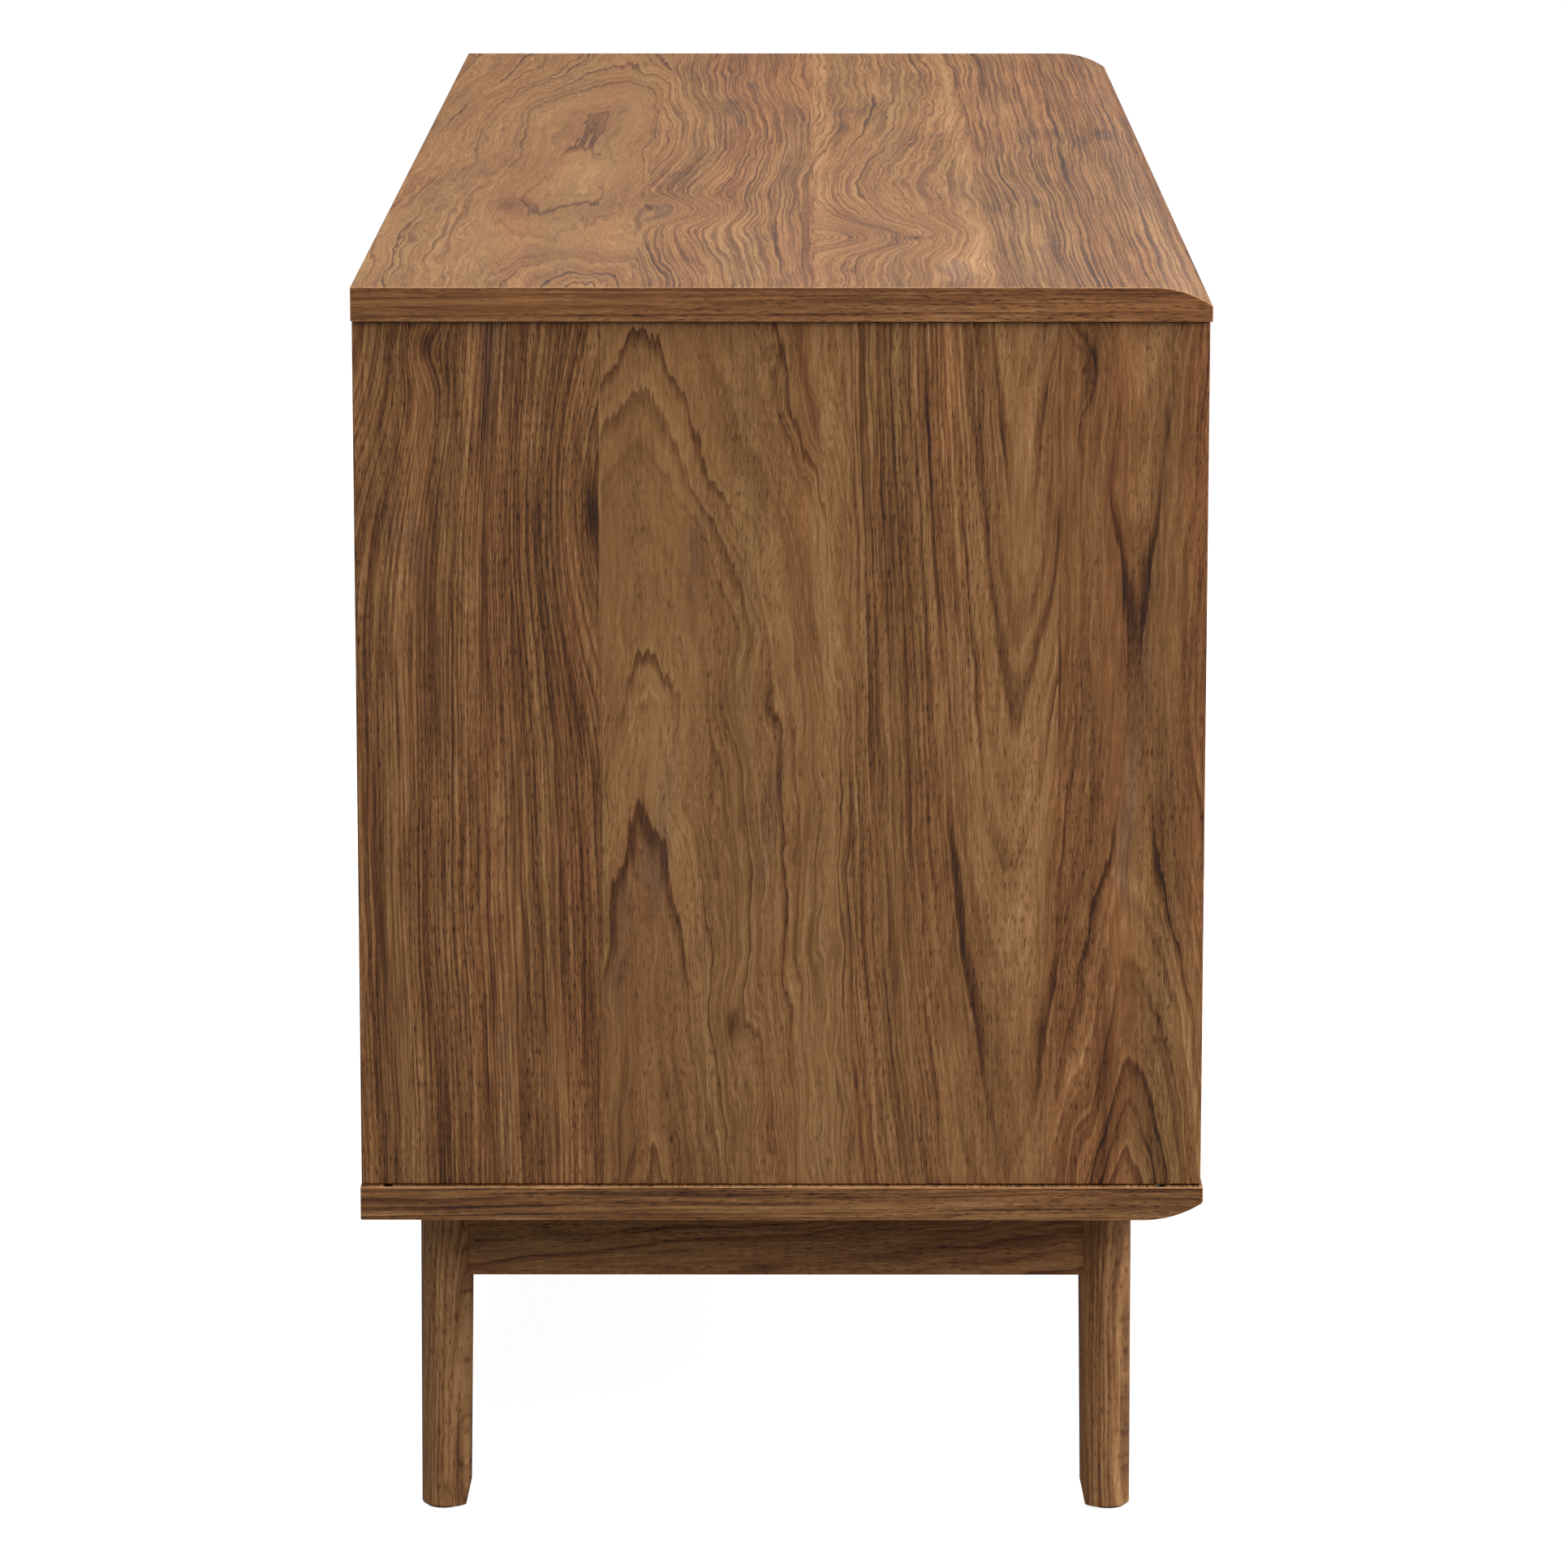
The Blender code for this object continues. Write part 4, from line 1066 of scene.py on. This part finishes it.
def door(end, material):
    """A sliding door: its outline from above, with a reeded front, carried upwards between two plain
    rails. The reeds run out before a rail: t of the way along the run-out they are sunk by sine squared
    of t quarter turns. Painted shade darkens the finish in the valleys, by their depth to the power 1.5.
    The pull's pocket and the seats of the rollers are cut out."""
    node = f"door_{end}"
    low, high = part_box(node)
    x, y = reeded_front(low, high, ENDS[end])
    r = ARRIS
    left_front = arc((low.x + r, low.y + r), r, 180, 270, 3)[0]
    right_front = arc((high.x - r, low.y + r), r, 270, 360, 3)[0]
    right_back = arc((high.x - r, high.y - r), r, 0, 90, 3)[0]
    left_back = arc((low.x + r, high.y - r), r, 90, 180, 3)[0]
    flat = np.concatenate([left_front, np.stack([x, y], 1), right_front, right_back, left_back])
    reeds = slice(len(left_front), len(left_front) + len(x))
    low_rail, high_rail = low.z + RAIL_WIDTH, high.z - RAIL_WIDTH
    t = np.linspace(0, 1, 7)
    z = np.concatenate([
        [low.z], low_rail + REED_RUN_OUT * t, high_rail - REED_RUN_OUT * t[::-1], [high.z]
    ])
    run_out = np.sin(t * math.pi / 2) ** 2
    sunk = np.concatenate([[0.0], run_out, run_out[::-1], [0.0]])
    points = np.zeros((len(z), len(flat), 3))
    points[..., 0] = flat[None, :, 0]
    points[..., 1] = flat[None, :, 1]
    points[:, reeds, 1] = low.y + (y - low.y)[None] * sunk[:, None]
    points[..., 2] = z[:, None]
    # Painted shade, darker towards the bottom of each valley
    shade = np.zeros(points.shape[:2])
    shade[:, reeds] = -REED_SHADE * ((y - low.y)[None] * sunk[:, None] / REED_DEPTH) ** 1.5
    obj = add_piece(
        f"reeded_door_{end}", node, f"{end}_door_carriage", material, points, soften=35, arris=shade
    )
    pull_low, pull_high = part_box(f"finger_pull_{end}")
    centre = (pull_low + pull_high) / 2
    pocket_depth = pull_high.y - low.y + FITTING_GAP
    cut_out(obj, round_tool((centre.x, low.y, centre.z), POCKET_RADIUS, pocket_depth))
    for tag in "ab":
        seat_low, seat_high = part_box(f"roller_housing_{end}_{tag}")
        gap = Vector((FITTING_GAP, FITTING_GAP, FITTING_GAP))
        seat_low, seat_high = seat_low - gap, seat_high + gap
        seat_low.z = low.z - SEAT_OPENING
        cut_out(obj, box_tool(seat_low, seat_high))
    outward(obj.data, 35)
    return obj


def spin(outline, centre):
    """Turns an outline of (radius, height) points about an axis along Y, heights towards the front."""
    radius, height = np.asarray(outline).T
    angle = full_turn()
    points = np.zeros((len(radius), len(angle), 3))
    points[..., 0] = centre[0] + radius[:, None] * np.cos(angle)[None]
    points[..., 1] = centre[1] - height[:, None]
    points[..., 2] = centre[2] + radius[:, None] * np.sin(angle)[None]
    return points


def pull_cup(end, material):
    """The flush pull: a cup with a rolled rim and a rounded bottom edge inside."""
    node = f"finger_pull_{end}"
    low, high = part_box(node)
    centre = (low + high) / 2
    outer = (high.x - low.x) / 2
    depth = high.y - low.y
    inner = CUP_RADIUS - CUP_WALL
    floor = CUP_WALL - depth
    r, f = CUP_LIP, CUP_FLOOR_EDGE
    rim = arc((outer - r, -r), r, 90, 0, 4)[0]
    lip = arc((inner + r, -r), r, 180, 90, 4)[0]
    floor_edge = arc((inner - f, floor + f), f, 270, 360, 6)[0]
    outline = np.concatenate([
        [(0.0, floor)], floor_edge, lip, rim,
        [(outer, -CUP_WALL), (CUP_RADIUS, -CUP_WALL), (CUP_RADIUS, -depth), (0.0, -depth)],
    ])
    points = spin(outline, (centre.x, low.y, centre.z))
    return add_piece(
        f"pull_cup_{end}", node, f"{end}_door_carriage", material, points, caps=False,
        soften=40,
    )


# ---------------------------------------------------------------- studio


def studio():
    """A white surround, a pale floor and five softboxes aimed at the middle of the object."""
    scene = bpy.context.scene
    scene.view_settings.view_transform = "Standard"
    scene.view_settings.look = "None"
    world = bpy.data.worlds.new("studio")
    scene.world = world
    world.use_nodes = True
    tree = world.node_tree
    background = tree.nodes["Background"]
    path = tree.nodes.new("ShaderNodeLightPath")
    seen = Wire(tree, path.outputs["Is Camera Ray"])
    background.inputs["Color"].default_value = (1.0, 1.0, 1.0, 1.0)
    join(tree, blend(tree, seen, WORLD_LIGHT, 1.0), background.inputs["Strength"])

    mesh = bpy.data.meshes.new("studio_floor")
    corners = [(-1, -1), (1, -1), (1, 1), (-1, 1)]
    mesh.from_pydata([(x * FLOOR_SPAN, y * FLOOR_SPAN, 0) for x, y in corners], [], [(0, 1, 2, 3)])
    floor = bpy.data.objects.new("studio_floor", mesh)
    floor.location.z = -0.0002
    scene.collection.objects.link(floor)
    material, tree, shader = new_material("pale_floor")
    shader.inputs["Base Color"].default_value = (FLOOR_GREY, FLOOR_GREY, FLOOR_GREY, 1.0)
    shader.inputs["Roughness"].default_value = 0.9
    shader.inputs["Specular IOR Level"].default_value = 0.1
    shader.inputs["Emission Color"].default_value = (1.0, 1.0, 1.0, 1.0)
    path = tree.nodes.new("ShaderNodeLightPath")
    seen = Wire(tree, path.outputs["Is Camera Ray"])
    join(tree, seen * FLOOR_GLOW, shader.inputs["Emission Strength"])
    mesh.materials.append(material)

    middle = (CAD_LOW + CAD_HIGH) / 2
    for name, (at, size, watts) in SOFTBOXES.items():
        softbox(name, at, middle, size, watts)


def softbox(name, at, aim, size, watts):
    light = bpy.data.lights.new(name, "AREA")
    light.shape = "RECTANGLE"
    light.size, light.size_y = size
    light.energy = watts
    obj = bpy.data.objects.new(name, light)
    obj.location = at
    obj.rotation_mode = "QUATERNION"
    obj.rotation_quaternion = (aim - Vector(at)).to_track_quat("-Z", "Y")
    bpy.context.scene.collection.objects.link(obj)


def camera():
    """Looks at the left end from a little above, square to it."""
    data = bpy.data.cameras.new("camera")
    data.sensor_width = 36.0
    data.lens = CAMERA_LENS
    data.clip_end = 60.0
    obj = bpy.data.objects.new("camera", data)
    bpy.context.scene.collection.objects.link(obj)
    obj.location = (CAD_LOW.x - CAMERA_DISTANCE, CAMERA_ASIDE, CAMERA_HEIGHT)
    level = math.cos(CAMERA_PITCH)
    ahead = Vector((
        level * math.cos(CAMERA_YAW), level * math.sin(CAMERA_YAW), -math.sin(CAMERA_PITCH)
    ))
    obj.rotation_mode = "QUATERNION"
    obj.rotation_quaternion = ahead.to_track_quat("-Z", "Y")
    bpy.context.scene.camera = obj


# ---------------------------------------------------------------- dressing the frame


def dress(nodes, material):
    """Gives CAD nodes that stay in sight their material."""
    for name in nodes:
        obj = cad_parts[name]
        if not obj.material_slots:
            obj.data.materials.append(material)
        for slot in obj.material_slots:
            slot.link = "OBJECT"
            slot.material = material


def named(*starts):
    """The CAD nodes whose names begin so."""
    return [name for name in sorted(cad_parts) if name.startswith(starts)]


studio()
camera()

case_low, case_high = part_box("side_panel_left")
case_middle = (case_low.z + case_high.z) / 2
end_panel = walnut(
    "walnut_end_panel", "yzx", DEPTH_LOW, DEPTH_HIGH, case_middle, END_LEAVES, END_KNOTS, END_SHADES,
    seed=1.0, flip=-1,
)
top_veneer = walnut(
    "walnut_top", "yxz", DEPTH_LOW, DEPTH_HIGH, 0.0, TOP_LEAVES, TOP_KNOTS, TOP_SHADES,
    seed=21.0, flip=-1, stretch=0.45,
)
base_veneer = walnut("walnut_base", "yxz", DEPTH_LOW, DEPTH_HIGH, 0.0, END_LEAVES, seed=33.0)
door_veneer = walnut("walnut_door", "xzy", -0.6, 0.6, case_middle, DOOR_LEAVES, seed=52.0)
rail_veneer = walnut("walnut_rail", "zyx", 0.0, 0.4, 0.0, RAIL_LEAVES, seed=71.0)
inner_veneer = walnut("walnut_inside", "yzx", DEPTH_LOW, DEPTH_HIGH, case_middle, TOP_LEAVES, seed=84.0)
shelf_veneer = walnut("walnut_shelf", "yxz", DEPTH_LOW, DEPTH_HIGH, 0.0, END_LEAVES, seed=95.0)
leg_walnut = turned_walnut("walnut_leg", 5.0)
hardboard = plain_finish(
    "brown_hardboard", (0.175, 0.085, 0.040), roughness=0.72, speck_size=0.0014, spread=0.35,
    relief=0.00010, gloss=0.15,
)
zinc = plain_finish(
    "zinc_plate", (0.62, 0.62, 0.60), roughness=0.34, speck_size=0.0009, spread=0.10,
    relief=0.00002, metallic=1.0,
)
nylon = plain_finish(
    "natural_nylon", (0.75, 0.74, 0.70), roughness=0.42, speck_size=0.0012, spread=0.04,
    relief=0.00002,
)
dark_plastic = plain_finish(
    "dark_track_plastic", (0.10, 0.06, 0.04), roughness=0.48, speck_size=0.0012, spread=0.10,
    relief=0.00002,
)
black_steel = plain_finish(
    "satin_black_steel", (0.022, 0.021, 0.020), roughness=0.38, speck_size=0.0007, spread=0.20,
    relief=0.00003, metallic=0.6,
)
glide = plain_finish(
    "dark_glide_plastic", (0.05, 0.04, 0.03), roughness=0.55, speck_size=0.0012, spread=0.12,
    relief=0.00002,
)

nosed_panel("top_panel", top_veneer, 1, UPPER_TRACK_DEPTH)
nosed_panel("bottom_panel", base_veneer, -1, LOWER_TRACK_DEPTH)
for side_name in ENDS:
    apron(side_name, rail_veneer)
    door(side_name, door_veneer)
    pull_cup(side_name, black_steel)
    for leg_row in ROWS:
        leg(leg_row, side_name, leg_walnut)

dress(named("side_panel_"), end_panel)
dress(named("centre_divider"), inner_veneer)
dress(named("shelf_left", "shelf_right"), shelf_veneer)
dress(named("cleat_"), rail_veneer)
dress(named("back_panel_"), hardboard)
dress(named("cam_lock_", "shelf_pin_"), zinc)
dress(named("roller_housing_", "wheel_", "top_guide_"), nylon)
dress(named("track_"), dark_plastic)
dress(named("foot_pad_"), glide)
